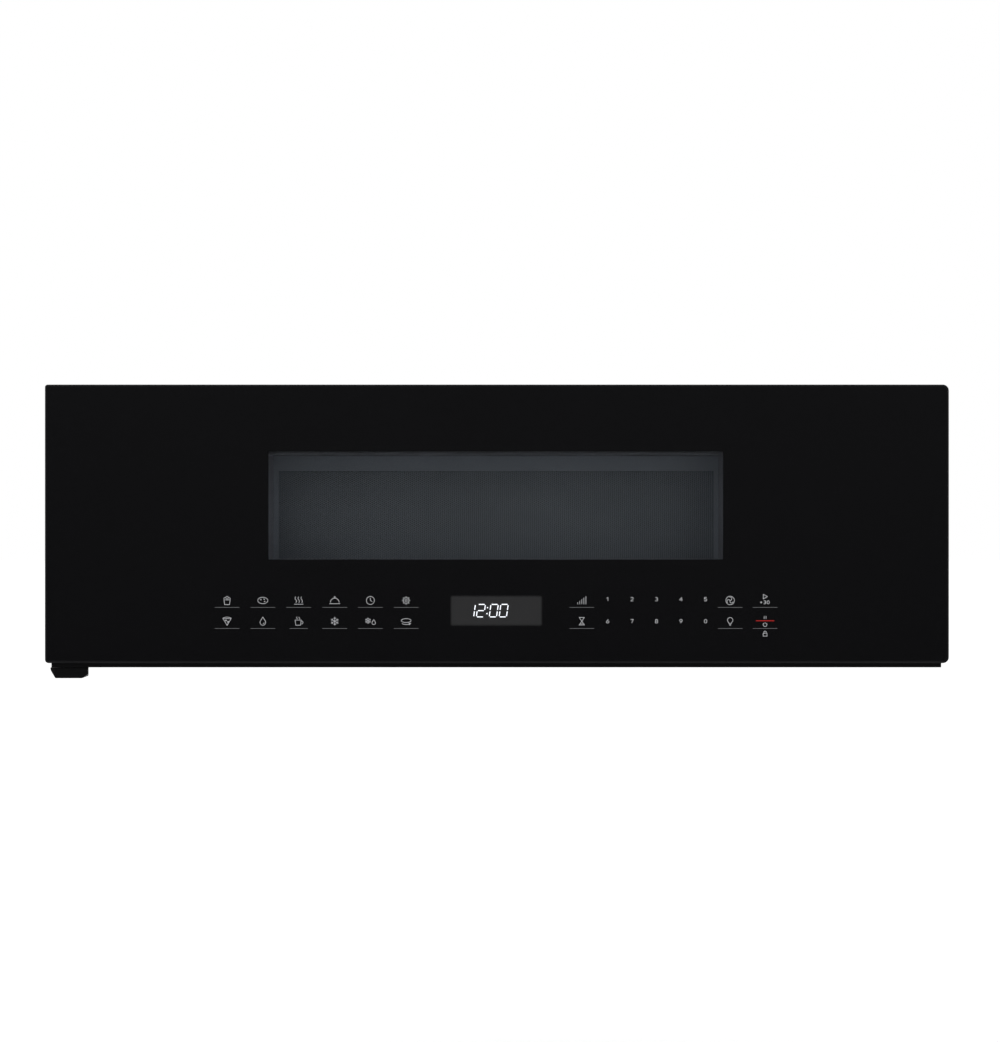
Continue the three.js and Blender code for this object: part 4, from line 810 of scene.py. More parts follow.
def rays(count: int, inner: float, outer: float, phase: float = 0.0) -> list[Array]:
    """Straight strokes from one radius to another, at even angles a = phase + 2 pi k / count."""
    turns = phase + 2 * math.pi * np.arange(count) / count
    return [np.outer([inner, outer], [math.cos(a), math.sin(a)]) for a in turns]


def steam(x: float, low: float, height: float, sway: float) -> Array:
    """A rising wave: (x + sway sin 2 pi t, low + height t)."""
    t = np.linspace(0, 1, 12)
    return np.stack([x + sway * np.sin(2 * math.pi * t), low + height * t], axis=1)


class Drawings:
    """The lines of each icon."""

    @staticmethod
    def bag() -> list[Array]:
        """A bag of popcorn."""
        puffs = [arc(x, z, 1.0, 0.9, -20, 200) for x, z in ((-1.5, 1.3), (0, 2.2), (1.5, 1.3))]
        return [polyline((-1.9, -3.2), (1.9, -3.2), (2.4, 0.5), (-2.4, 0.5), (-1.9, -3.2)), *puffs]

    @staticmethod
    def tuber() -> list[Array]:
        """A potato with its eyes."""
        eyes = [arc(x, z, 0.3, 0.25, 0, 360, 8) for x, z in ((-1.5, 0.6), (1.4, -0.8), (1.0, 1.0))]
        return [arc(0, 0, 3.9, 2.5, 0, 360, 26), *eyes]

    @staticmethod
    def reheat() -> list[Array]:
        """Three waves of warmth over a line."""
        return [polyline((-3.6, -2.9), (3.6, -2.9))] + [steam(x, -1.7, 4.6, 0.6) for x in (-2.3, 0, 2.3)]

    @staticmethod
    def plate() -> list[Array]:
        """A covered dish."""
        return [arc(0, -1.6, 3.4, 3.4, 0, 180, 18), polyline((-4.2, -2.5), (4.2, -2.5)), ring(0, 2.5, 0.5, 9)]

    @staticmethod
    def clock() -> list[Array]:
        """A dial with two hands."""
        return [ring(0, 0, 3.1, 26), polyline((0, 2), (0, 0), (1.5, -0.8))]

    @staticmethod
    def gear() -> list[Array]:
        """A cog."""
        return [ring(0, 0, 2.2, 22), ring(0, 0, 0.8, 12)] + rays(8, 2.3, 3.3)

    @staticmethod
    def slice() -> list[Array]:
        """A slice of pizza."""
        return [polyline((0, -3.2), (3.1, 2.0), (-3.1, 2.0), (0, -3.2)), arc(0, 1.8, 3.4, 1.4, 10, 170),
                ring(-0.8, 0.6, 0.5, 9), ring(0.8, -0.5, 0.5, 9)]

    @staticmethod
    def drop() -> list[Array]:
        """A drop."""
        return [joined((0, 3.2), arc(0, -0.9, 2.2, 2.2, 28, -208, 18), (0, 3.2)),
                arc(0, -0.9, 1.1, 1.1, -80, -10, 7)]

    @staticmethod
    def cup() -> list[Array]:
        """A steaming mug."""
        body = polyline((-2.8, 0.9), (-2.3, -3.1), (1.4, -3.1), (1.9, 0.9), (-2.8, 0.9))
        handle = arc(1.8, -1.0, 1.5, 1.2, -80, 80)
        return [body, handle] + [steam(x, 1.7, 1.6, 0.3) for x in (-1.4, 0.5)]

    @staticmethod
    def frost() -> list[Array]:
        """A snow crystal of six arms, each with a pair of twigs."""
        turns = np.arange(6) * math.pi / 3 + math.pi / 6
        twigs = [polyline((math.cos(a + 0.34), math.sin(a + 0.34)), (0.66 * math.cos(a), 0.66 * math.sin(a)),
                      (math.cos(a - 0.34), math.sin(a - 0.34))) * 2.7 for a in turns]
        return rays(6, 0.0, 3.3, math.pi / 6) + twigs

    @staticmethod
    def thaw() -> list[Array]:
        """A small snow crystal beside a drop."""
        crystal = [stroke * 0.72 + (-1.8, 0.4) for stroke in Drawings.frost()]
        return crystal + [stroke * 0.62 + (2.6, -0.7) for stroke in Drawings.drop()[:1]]

    @staticmethod
    def tray() -> list[Array]:
        """A round tray with the arrow of its turning."""
        return [arc(0, 0.5, 3.8, 1.5, 0, 360, 26), arc(0, -1.0, 3.8, 1.5, -150, -25),
                polyline((2.2, -2.9), (3.5, -1.7), (1.9, -1.3))]

    @staticmethod
    def bars() -> list[Array]:
        """Five rising bars."""
        heights = ((-3.2, 1.5), (-1.6, 2.7), (0, 3.9), (1.6, 5.1), (3.2, 6.1))
        return [polyline((x, -2.9), (x, -2.9 + height)) for x, height in heights]

    @staticmethod
    def hourglass() -> list[Array]:
        """An hourglass."""
        return [polyline((-2, 2.9), (2, 2.9), (-2, -2.9), (2, -2.9), (-2, 2.9)),
                polyline((-0.8, -2.1), (0.8, -2.1))]

    @staticmethod
    def fan() -> list[Array]:
        """A fan of three blades in a ring."""
        size = 1.3
        blades = [arc(size * math.cos(a), size * math.sin(a), size, size, math.degrees(a) - 180,
                      math.degrees(a) + 20, 12) for a in (math.pi / 2, math.pi * 7 / 6, -math.pi / 6)]
        return [ring(0, 0, 3.3, 26)] + blades

    @staticmethod
    def lamp() -> list[Array]:
        """A bulb."""
        bulb = joined((-0.9, -1.7), arc(0, 0.8, 2.1, 2.1, 235, -55, 18), [(0.9, -1.7), (-0.9, -1.7)])
        return [bulb, polyline((-0.8, -2.6), (0.8, -2.6)), polyline((-0.4, -3.3), (0.4, -3.3))]

    @staticmethod
    def start() -> list[Array]:
        """A triangle that points right."""
        return [polyline((-1.5, -1.9), (2.0, 0), (-1.5, 1.9), (-1.5, -1.9))]

    @staticmethod
    def plus() -> list[Array]:
        """A plus sign and the number 30."""
        return ([polyline((-4.2, 0), (-2.4, 0)), polyline((-3.3, -0.9), (-3.3, 0.9))]
                + digit_lines("3", -1.4, -1.35, 2.7, 2.3) + digit_lines("0", 1.5, -1.35, 2.7, 2.3))

    @staticmethod
    def pause() -> list[Array]:
        """Two upright bars."""
        return [polyline((x, -1.2), (x, 1.2)) for x in (-0.8, 0.8)]

    @staticmethod
    def off() -> list[Array]:
        """An open ring with a bar in its gap."""
        return [arc(0, -0.2, 1.6, 1.6, 125, 415, 18), polyline((0, 0.2), (0, 1.7))]

    @staticmethod
    def lock() -> list[Array]:
        """A padlock."""
        return [polyline((-1.6, -2.1), (1.6, -2.1), (1.6, 0.3), (-1.6, 0.3), (-1.6, -2.1)),
                joined((-1.0, 0.3), arc(0, 1.1, 1.0, 1.0, 180, 0, 10), (1.0, 0.3))]


def digit_lines(digit: str, x: float, z: float, height: float, width: float) -> list[Array]:
    """A digit's lines in a box of the given height and width, from its lower left corner."""
    shapes = {
        "0": [arc(0.5, 0.8, 0.42, 0.8, 0, 360, 22)],
        "1": [joined([(0.18, 1.25), (0.58, 1.6), (0.58, 0)])],
        "2": [joined(arc(0.5, 1.14, 0.4, 0.46, 165, -28, 12), [(0.08, 0), (0.95, 0)])],
        "3": [joined(arc(0.45, 1.21, 0.4, 0.39, 140, -82, 11), arc(0.45, 0.41, 0.46, 0.41, 82, -145, 12))],
        "4": [joined([(0.72, 0), (0.72, 1.6), (0.04, 0.46), (0.98, 0.46)])],
        "5": [joined([(0.88, 1.6), (0.2, 1.6), (0.13, 0.86)], arc(0.46, 0.5, 0.44, 0.5, 125, -145, 14))],
        "6": [joined([(0.74, 1.6), (0.3, 1.06)], arc(0.5, 0.47, 0.42, 0.47, 150, -210, 22))],
        "7": [joined([(0.05, 1.6), (0.93, 1.6), (0.36, 0)])],
        "8": [arc(0.5, 1.21, 0.36, 0.39, 0, 360, 18), arc(0.5, 0.41, 0.44, 0.41, 0, 360, 20)],
        "9": [joined([(0.26, 0), (0.7, 0.54)], arc(0.5, 1.13, 0.42, 0.47, -30, -390, 22))],
    }
    return [points * (width, height / 1.6) + (x, z) for points in shapes[digit]]


@dataclass
class ControlPrint:
    """The printed keys, their underlines and the clock, on the glass's front face."""

    depth: float = -463.97
    bottom: float = -114.75
    rows: tuple[float, float] = (52.7, 35.3)
    underlines: tuple[float, float] = (46.9, 29.25)
    left_keys: tuple[float, ...] = (-226.3, -196.3, -166.2, -136.0, -106.1, -76.1)
    timer_key: float = 71.2
    hood_key: float = 195.6
    start_key: float = 224.9
    number_keys: tuple[float, ...] = (92.9, 113.3, 133.8, 154.4, 175.0)
    number_rows: tuple[float, float] = (53.8, 35.3)
    digit: tuple[float, float] = (2.6, 3.0)
    red_line: tuple[float, float] = (7.7, 35.7)
    icon_scale: float = 1.08
    stroke: float = 0.37
    line_width: float = 0.36
    red_width: float = 0.72
    underline: float = 20.6
    short_underline: float = 15.2
    clock_digit: tuple[float, float] = (6.15, 10.48)
    clock_low: float = 38.94
    clock_columns: tuple[float, ...] = (-18.74, -10.36, 0.43, 8.75)
    clock_dots: tuple[tuple[float, float], ...] = ((-7.9, 46.66), (-8.32, 41.7))
    clock_inset: float = 0.62
    slant: float = 0.14
    dot: float = 0.55
    segment: float = 0.8

    def keys(self) -> Shape:
        """Icons over the underlines, the ten number keys and the red line of the stop key."""
        grey = [stroke * self.icon_scale + (x, z) for x, z, icon in self._large_icons()
                for stroke in icon.lines()]
        grey += [stroke + (self.start_key, z) for z, icon in self._small_icons() for stroke in icon.lines()]
        width, height = self.digit
        for z, row in zip(self.number_rows, ("12345", "67890")):
            for x, digit in zip(self.number_keys, row):
                grey += digit_lines(digit, x - width / 2, z - height / 2, height, width)
        lines = [polyline((x - w / 2, z), (x + w / 2, z)) for x, z, w in self._lines()]
        reach, z = self.red_line
        red = [polyline((self.start_key - reach, z), (self.start_key + reach, z))]
        shapes = [ribbons(grey, self.stroke, self.depth), ribbons(lines, self.line_width, self.depth, 1),
                  ribbons(red, self.red_width, self.depth, 2)]
        return together(shapes).moved((0, 0, self.bottom))

    def _large_icons(self) -> list[tuple[float, float, Icon]]:
        """Place and kind of each full-size icon."""
        top = [Icon.BAG, Icon.TUBER, Icon.REHEAT, Icon.PLATE, Icon.CLOCK, Icon.GEAR, Icon.BARS, Icon.FAN]
        low = [Icon.SLICE, Icon.DROP, Icon.CUP, Icon.FROST, Icon.THAW, Icon.TRAY, Icon.HOURGLASS, Icon.LAMP]
        columns = (*self.left_keys, self.timer_key, self.hood_key)
        return [(x, z, icon) for z, row in zip(self.rows, (top, low)) for x, icon in zip(columns, row)]

    @staticmethod
    def _small_icons() -> list[tuple[float, Icon]]:
        """Height and kind of the small icons, two to a key, in the last column."""
        return [(55.9, Icon.START), (51.2, Icon.PLUS), (38.5, Icon.PAUSE), (32.7, Icon.OFF),
                (24.9, Icon.LOCK)]

    def _lines(self) -> list[tuple[float, float, float]]:
        """Centre, height and length of each underline; the third key of the low row has a short one."""
        columns = (*self.left_keys, self.timer_key, self.hood_key, self.start_key)
        short = (self.left_keys[2], self.underlines[1])
        return [(x, z, self.short_underline if (x, z) == short else self.underline)
                for z in self.underlines for x in columns]

    def clock(self) -> Shape:
        """The clock reading 12:00 in slanted seven-segment digits: x' = x + slant (z - z of the middle)."""
        (width, height), low = self.clock_digit, self.clock_low
        seg = {"a": ((0, 1), (1, 1)), "b": ((1, 1), (1, 0.5)), "c": ((1, 0.5), (1, 0)), "d": ((0, 0), (1, 0)),
               "e": ((0, 0), (0, 0.5)), "f": ((0, 0.5), (0, 1)), "g": ((0, 0.5), (1, 0.5))}
        used = {"1": "bc", "2": "abged", "0": "abcdef"}
        lines = []
        for right, digit in zip(self.clock_columns, "1200"):
            for name in used[digit]:
                ends = np.array(seg[name], float) * (width, height)
                along = (ends[1] - ends[0]) / np.linalg.norm(ends[1] - ends[0])
                ends = ends + np.array([along, -along]) * self.clock_inset
                lines.append(ends + (right - width, low))
        middle = low + height / 2
        leaning = [part + np.stack([self.slant * (part[:, 1] - middle), 0 * part[:, 1]], 1) for part in lines]
        dots = [cap(on_front(arc(x, z, self.dot, self.dot, 0, 336, 15), self.depth))
                for x, z in self.clock_dots]
        return together([ribbons(leaning, self.segment, self.depth), *dots]).moved((0, 0, self.bottom))


# ------------------------------------------------------------------ door


@dataclass
class Door:
    """The door: its glass, print, display, perforated screen and moulded parts."""

    shop: Workshop
    half: float = 379.4
    low: float = -114.75
    high: float = 119.15
    front: float = -463.9
    thickness: float = 3.9
    edge: float = 1.9
    support: float = 0.35
    radii: tuple[float, float, float, float] = (5.0, 5.0, 2.3, 3.1)
    window: tuple[float, float, float, float] = (-192.0, 190.1, -27.75, 63.05)
    screen_y: tuple[float, float] = (-422.2, -421.6)
    column_pitch: float = 1.72
    hole_pitch: float = 1.80
    hole_radius: float = 0.62
    screen_margin: float = 8.0
    screw_y: float = -418.45
    screw_rows: tuple[float, float] = (-108.2, 112.4)
    screw_columns: tuple[float, ...] = (-330, -180, 0, 150, 330)
    screen_field: tuple[float, float, float, float] = (-187.2, 186.5, -32.6, 47.5)
    display: tuple[float, float, float, float] = (-39.5, 38.5, 30.9, 57.3)
    display_radius: float = 1.2
    print_height: float = 0.03
    digit_height: float = 0.02

    def build(self) -> None:
        """Makes every piece of the door."""
        self.glass()
        self.controls()
        self.screen()
        self.mouldings()

    def glass(self) -> bpy.types.Object:
        """The full-width pane with a pencil-rounded edge and a smoked window.

        A loop of the edge is the outline drawn in by e (1 - sin a) at the depth y0 + e (1 - cos a). The angle
        a runs from 0 to 90 degrees over the front half and is mirrored over the back half. A loop just inside
        keeps the faces flat.
        """
        steps = 5
        angle = np.linspace(0, math.pi / 2, steps + 1)
        inset = self.edge * (1 - np.sin(angle))
        depth = self.front + self.edge * (1 - np.cos(angle))
        insets = np.concatenate([inset, inset[::-1][1:]])
        depths = np.concatenate([depth, 2 * self.front + self.thickness - depth[::-1][1:]])
        loops = np.stack([on_front(self._outline(i), y) for i, y in zip(insets, depths)])
        x0, x1, z0, z1 = self.window
        hole = rounded((x0, z0), (x1, z1), 0.25, 6)
        near, far = on_front(hole, self.front), on_front(hole, self.front + self.thickness)
        inner = self._outline(self.edge + self.support)
        front, back = on_front(inner, self.front), on_front(inner, self.front + self.thickness)
        shape = together([
            grid(loops, wrap_v=True, finish=2),
            grid(np.stack([loops[0], front, near]), wrap_v=True), cap(near, 1),
            grid(np.stack([loops[-1], back, far]), wrap_v=True), cap(far, 1)])
        return self.shop.piece("glass_pane", shape, "door",
                               [Look.black_glass, Look.smoked_glass, Look.glass_edge], "black_glass",
                               ["door_glass"], angle=24)

    def _outline(self, inset: float) -> Array:
        """The pane's outline drawn in by an inset."""
        radii = np.maximum(np.array(self.radii) - inset, 0.2)
        return rounded((-self.half + inset, self.low + inset), (self.half - inset, self.high - inset), radii)

    def controls(self) -> None:
        """The print on the keys, the display's lens and its lit digits."""
        control = ControlPrint(depth=self.front - self.print_height)
        self.shop.piece("key_print", control.keys(), "door", [Look.print_ink, Look.line_ink, Look.red_ink],
                        "white_plastic", closed=False)
        self.shop.piece("clock_digits", control.clock().moved((0, -self.digit_height, 0)), "door",
                        [Look.digits], "white_plastic", closed=False)
        x0, x1, z0, z1 = self.display
        lens = rounded((x0, z0 + self.low), (x1, z1 + self.low), self.display_radius)
        panel = on_front(lens, self.front - self.print_height / 2)
        self.shop.piece("display_lens", cap(panel), "door", [DisplayLens()], "black_glass", closed=False)

    def screen(self) -> None:
        """The perforated window screen, in two halves that meet on its middle line.

        Hole (i, j) is at (i c, (j + (i mod 2) / 2) p). Its cell is the hexagon with corners (+-2c/3, 0) and
        (+-c/3, +-p/2), and six quads join the cell's edge to the hole's, on both faces and down its wall.
        """
        x0, x1, z0, z1 = self.screen_field
        c, p = self.column_pitch, self.hole_pitch
        i, j = np.meshgrid(np.arange(round((x1 - x0) / c)), np.arange(round((z1 - z0) / p)), indexing="ij")
        centres = np.stack([x0 + c / 2 + i * c, z0 + p / 2 + (j + (i % 2) / 2) * p], axis=-1).reshape(-1, 2)
        angle = np.arange(6) * math.pi / 3
        cell = np.array([[2 * c / 3, 0], [c / 3, p / 2], [-c / 3, p / 2], [-2 * c / 3, 0], [-c / 3, -p / 2],
                         [c / 3, -p / 2]])
        hole = self.hole_radius * np.stack([np.cos(angle), np.sin(angle)], axis=1)
        middle = (self.window[0] + self.window[1]) / 2
        for name, kept in (("left", centres[:, 0] < middle), ("right", centres[:, 0] >= middle)):
            field_shape = self._holes(centres[kept], cell, hole)
            border = self._screen_border(name, centres[kept], (c, p))
            self.shop.piece(f"window_screen_{name}", together([field_shape, border]), "door",
                            [Look.screen, Look.border], "screen_paint", ["window_screen"], closed=False)

    def _holes(self, centres: Array, cell: Array, hole: Array) -> Shape:
        """A field of perforated cells with both faces and the walls of the holes."""
        near, far = self.screen_y
        loops = [(cell, near), (hole, near), (hole, far), (cell, far)]
        points = np.stack([on_front(centres[:, None] + outline, y) for outline, y in loops], axis=1)
        count = len(centres)
        base = (np.arange(count) * 24)[:, None, None]
        loop = np.arange(3)[None, :, None] * 6
        k = np.arange(6)[None, None, :]
        after = (k + 1) % 6
        inner, outer = base + loop, base + loop + 6
        quads = np.stack([inner + k, inner + after, outer + after, outer + k], axis=-1)
        flat = quads.reshape(-1, 4)
        unique, index = np.unique(np.round(points.reshape(-1, 3), 3), axis=0, return_inverse=True)
        return Shape(unique, [index.reshape(-1)[flat]], [0])

    def _screen_border(self, side: str, centres: Array, pitch: tuple[float, float]) -> Shape:
        """The plain band round half of the screen: three closed flat bars that lap under the field's edge, in
        a lighter copy of the screen paint that is a painted highlight.
        """
        x0, x1, z0, z1 = np.array(self.window) + np.array([-1, 1, -1, 1]) * self.screen_margin
        c, p = pitch
        low, high = centres.min(0) - (c * 0.6, p * 0.45), centres.max(0) + (c * 0.6, p * 0.45)
        near, far = self.screen_y
        bars = [((low[0], z0), (high[0], low[1])), ((low[0], high[1]), (high[0], z1))]
        bars.append(((x0, z0), (low[0], z1)) if side == "left" else ((high[0], z0), (x1, z1)))
        return together([slab(a, b, (near + 0.02, far - 0.02)) for a, b in bars]).painted(1)

    def mouldings(self) -> None:
        """The frame, covers, inner glass, latch and boards, as finished copies of their solids."""
        self.shop.refined("door_frame", [Look.black_plastic, Look.tunnel_plastic], [Zone.window_tunnel],
                          bevel=0.3)
        self.shop.refined("door_back_cover", [Look.black_plastic], bevel=0.5)
        self.shop.refined("choke_cover", [Look.black_plastic], bevel=0.4)
        self.shop.refined("door_inner_panel", [Look.black_paint], bevel=0.25)
        self.shop.refined("inner_window", [Look.clear_glass], bevel=0)
        self.shop.refined("touch_board", [Look.board, Look.black_plastic], [Zone.touch_cover], bevel=0.15)
        self.shop.refined("display_module", [Look.black_plastic], bevel=0.3)
        self.shop.refined("door_latch", [Look.white_plastic], bevel=0.5)
        self.light_seal()
        places = [(x, self.screw_y, z) for z in self.screw_rows for x in self.screw_columns]
        self.shop.piece("door_screws", Screw(3.0, 1.4).at(places, "+Y"), "door", [Look.bare_steel],
                        "spring_steel")

    def light_seal(self) -> bpy.types.Object:
        """The foam strip under the tunnel's ceiling: its lower face rises from the screen to the glass.

        Its section (y, z) is carried along X, drawn in by a chamfer at both ends.
        """
        x0, x1, _, top = self.window
        y0, y1 = self.front + self.thickness + 0.4, self.screen_y[0] - 0.6
        section = np.array([(y0, top - 1.9), (y0 + 1, top - 2.6), (y1, top - 2.9), (y1, top - 0.2),
                            (y0, top - 0.2)])
        ends = [np.column_stack([np.full(5, x), section]) for x in (x0 + 0.3, x1 - 0.3)]
        shape = together([grid(np.stack(ends), wrap_v=True), cap(ends[0]), cap(ends[1][::-1])])
        return self.shop.piece("window_light_seal", shape, "door", [Look.foam], "black_rubber")


def slab(low: Sequence[float], high: Sequence[float], depth: Sequence[float], radius: float = 0.05) -> Shape:
    """A closed flat bar between two corners (x, z) and two depths y, facing the front."""
    outline = rounded(low, high, radius, 1)
    near, far = on_front(outline, depth[0]), on_front(outline, depth[1])
    return together([grid(np.stack([far, near]), wrap_v=True), cap(near), cap(far[::-1])])


@dataclass(frozen=True)
class DisplayLens(Coating):
    """The dark display panel, a little lighter than the glass and fading at its edge."""

    name: str = "display_lens"
    color: Color = (0.033, 0.033, 0.034)
    centre: tuple[float, float] = (-0.0005, -0.07065)
    half: tuple[float, float] = (0.039, 0.0132)
    fade: float = 0.0022

    def dress(self, tree: Tree, shader: bpy.types.Node) -> None:
        """The panel's colour falls off to the glass's over a short fade along each edge."""
        where = tree.node("SeparateXYZ", {0: tree.node("TexCoord").outputs["Object"]})
        shares = []
        for axis, middle, reach in ((0, self.centre[0], self.half[0]), (2, self.centre[1], self.half[1])):
            away = tree.math("ABSOLUTE", tree.math("SUBTRACT", where.outputs[axis], middle))
            shares.append(tree.ramp(away, reach - self.fade, reach, 1.0, 0.0))
        share = tree.math("MULTIPLY", *shares)
        color = tree.mix(share, (*Look.black_glass.color, 1), (*self.color, 1))
        tree.feed(shader, {"Base Color": color, "Roughness": 0.05})


# ------------------------------------------------------------------ cabinet


@dataclass
class Cabinet:
    """The sheet-metal case with its grille, foot, hinges and fasteners.

    The sheets' edges are rounded by less than half of their thickness, so no edge face shrinks to a line.
    """

    shop: Workshop
    sheet_bevel: float = 0.18
    grommet_place: tuple[float, float, float] = (300, -52, 117.35)
    underside: float = -117.75
    bracket_underside: float = -121.3
    side: float = 373.6
    top: float = 117.72
    plate_top: float = 117.3

    def build(self) -> None:
        """Makes every piece of the case."""
        for node in ("outer_cover", "base_plate", "front_frame"):
            self.shop.refined(node, [Look.black_paint], bevel=self.sheet_bevel)
        for node in ("back_plate", "exhaust_cover_plate"):
            self.shop.refined(node, [Look.galvanised], bevel=self.sheet_bevel)
        self.shop.refined("vent_grille", [Look.black_plastic], bevel=0.25)
        self.shop.refined("charcoal_filter", [Look.black_plastic, Look.charcoal], [Zone.charcoal], bevel=0.2)
        self.shop.refined("lower_hinge_cover", [Look.black_plastic], bevel=0.55, angle=24)
        self.shop.refined("upper_hinge_bracket", [Look.bare_steel], bevel=0.25)
        self.shop.refined("lower_hinge_bracket", [Look.black_paint], bevel=0.25)
        self.shop.refined("latch_board", [Look.white_plastic], bevel=0.15)
        for node in ("upper_interlock_switch", "monitor_switch", "lower_interlock_switch"):
            self.shop.refined(node, [Look.black_plastic, Look.bare_steel], [Zone.switch_button], bevel=0.25)
        self.shop.refined("interlock_lever", [Look.white_plastic], bevel=0.4)
        self.grommet()
        self.fasteners()

    def grommet(self) -> bpy.types.Object:
        """The soft cord grommet, a lathe-turned ring whose profile rounds over the sheet's edge."""
        profile = smooth_line([(6, -4), (8.5, -4.1), (11, -3.9), (11, -1.1), (9.2, -1.0), (9.2, 0.3),
                               (11, 0.4), (10.6, 1.3), (8.5, 1.45), (6.2, 1.2)], 40, closed=True)
        shape = lathe(profile, 40).moved(self.grommet_place)
        return self.shop.piece("cord_grommet_ring", shape, "cabinet", [Look.black_rubber], "black_rubber",
                               ["cord_grommet"])

    def fasteners(self) -> None:
        """The case's screws on the underside, the sides and the top."""
        pan, low = Screw(), Screw(3.4, 1.2)
        under = [(x, y, self.underside) for x in (-340, -60, 60, 352) for y in (-400, -24)]
        under += [(352, -212, self.underside)]
        under += [(-361.4, y, self.bracket_underside) for y in (-387, -357)]
        sides = [(y, z) for y in (-30, -200, -380) for z in (-106, 96)]
        top = [(x, -22, self.top) for x in (-340, -170, 170, 340)]
        top += [(x, -400, self.top) for x in (-300, -100, 100, 300)]
        heads = [pan.at(under, "-Z"), pan.at([(-self.side, y, z) for y, z in sides], "-X"),
                 pan.at([(self.side, y, z) for y, z in sides], "+X"), low.at(top, "+Z"),
                 low.at([(x, y, self.plate_top) for x in (-128, 128) for y in (-94, -22)], "+Z")]
        self.shop.piece("case_screws", together(heads), "cabinet", [Look.bare_steel], "spring_steel")


# ------------------------------------------------------------------ cooking chamber and turntable


@dataclass
class Oven:
    """The enamelled chamber, its lamp, waveguide and turntable."""

    shop: Workshop
    centre: tuple[float, float, float] = (-25.0, -258.7, -84.5)
    tray_height: float = 16.9
    axle: float = 2.2
    axle_head: float = 3.3
    axle_height: float = 8.5
    wheel_reach: float = 94.0

    def build(self) -> None:
        """Makes every piece of the chamber."""
        self.shop.refined("oven_cavity", [Look.enamel], bevel=0.8, angle=26)
        self.shop.refined("waveguide", [Look.galvanised], bevel=0.4)
        self.shop.refined("waveguide_cover", [Look.mica], bevel=0.2)
        self.shop.refined("cavity_lamp", [Look.white_plastic, Look.bare_steel], [Zone.lamp_bulb])
        self.shop.refined("turntable_motor", [Look.galvanised], bevel=0.5)
        self.tray()
        self.ring()
        self.shop.refined("drive_coupler", [Look.white_plastic], bevel=0.7, angle=35)

    def tray(self) -> bpy.types.Object:
        """The pressed glass tray: a turned dish with a track lip under it and three lugs.

        The dish is the closed profile of its section turned about Z; each lug is a rounded block.
        """
        foot = [(0.01, 0), (60, 0), (98, 0)]
        track = [(99.6, -1.2), (101, -1.7), (102.6, -1.2), (104.2, 0)]
        rim = [(123, 0), (130, 1.4), (142, 10.6), (145, 12.7), (144.6, 15.9), (142.8, 16.3), (138.6, 14.4)]
        dish = [(128, 6.4), (122, 4.8), (60, 4.8), (0.01, 4.8)]
        section = smooth_line(np.array(foot + track + rim + dish) + (0, self.tray_height), 150)
        shapes = [lathe(section, 128)]
        middle = (16.5, 0)
        lug = rounded((11, -5), (22, 5), 3, 4) - middle
        for turn in np.radians((60, 180, 300)):
            spin = np.array([[math.cos(turn), -math.sin(turn)], [math.sin(turn), math.cos(turn)]])
            loops = np.stack([on_level(lug * k @ spin.T + spin @ middle, z) for k, z in
                              ((0.8, 7.0), (0.95, 7.3), (1.0, 8.2), (1.0, self.tray_height + 0.4))])
            shapes += [grid(loops, wrap_v=True), cap(loops[0]), cap(loops[-1])]
        shape = together(shapes).moved(self.centre)
        return self.shop.piece("turntable_tray", shape, "tray", [Look.clear_glass], "clear_glass",
                               ["glass_tray"])

    def ring(self) -> None:
        """The roller ring and its three rollers, turned with rounded edges."""
        band = smooth_line([(78, 6), (86, 6), (87.5, 8.6), (86, 11.2), (78, 11.2)], 40, closed=True)
        turns = np.radians((0, 120, 240))
        parts = [lathe(band, 96)]
        tyre = smooth_line([(2.7, -3.5), (7.2, -3.5), (8.0, -2.5), (8.0, 2.5), (7.2, 3.5), (2.7, 3.5)], 36,
                           closed=True)
        for number, turn in enumerate(turns):
            out, side = (np.array([math.cos(a), math.sin(a), 0]) for a in (turn, turn + math.pi / 2))
            for (inner, outer), radius in (((84, 99.5), self.axle), ((98.2, 99.9), self.axle_head)):
                ends = np.array([out * inner, out * outer]) + (0, 0, self.axle_height)
                parts.append(wire(ends, radius, 14))
            matrix = np.column_stack([(0, 0, 1), side, out])
            hub = out * self.wheel_reach + (0, 0, self.axle_height)
            wheel = lathe(tyre, 40).turned(matrix).moved(hub).moved(self.centre)
            self.shop.piece(f"roller_wheel_{number + 1}", wheel, f"roller_{number + 1}", [Look.white_plastic],
                            "white_plastic", [f"roller_{number + 1}"])
        self.shop.piece("roller_ring_moulding", together(parts).moved(self.centre), "roller_ring",
                        [Look.white_plastic], "white_plastic", ["roller_ring"])


# ------------------------------------------------------------------ underside


class Side(Enum):
    """Left or right as seen from the front."""

    LEFT = -1
    RIGHT = 1


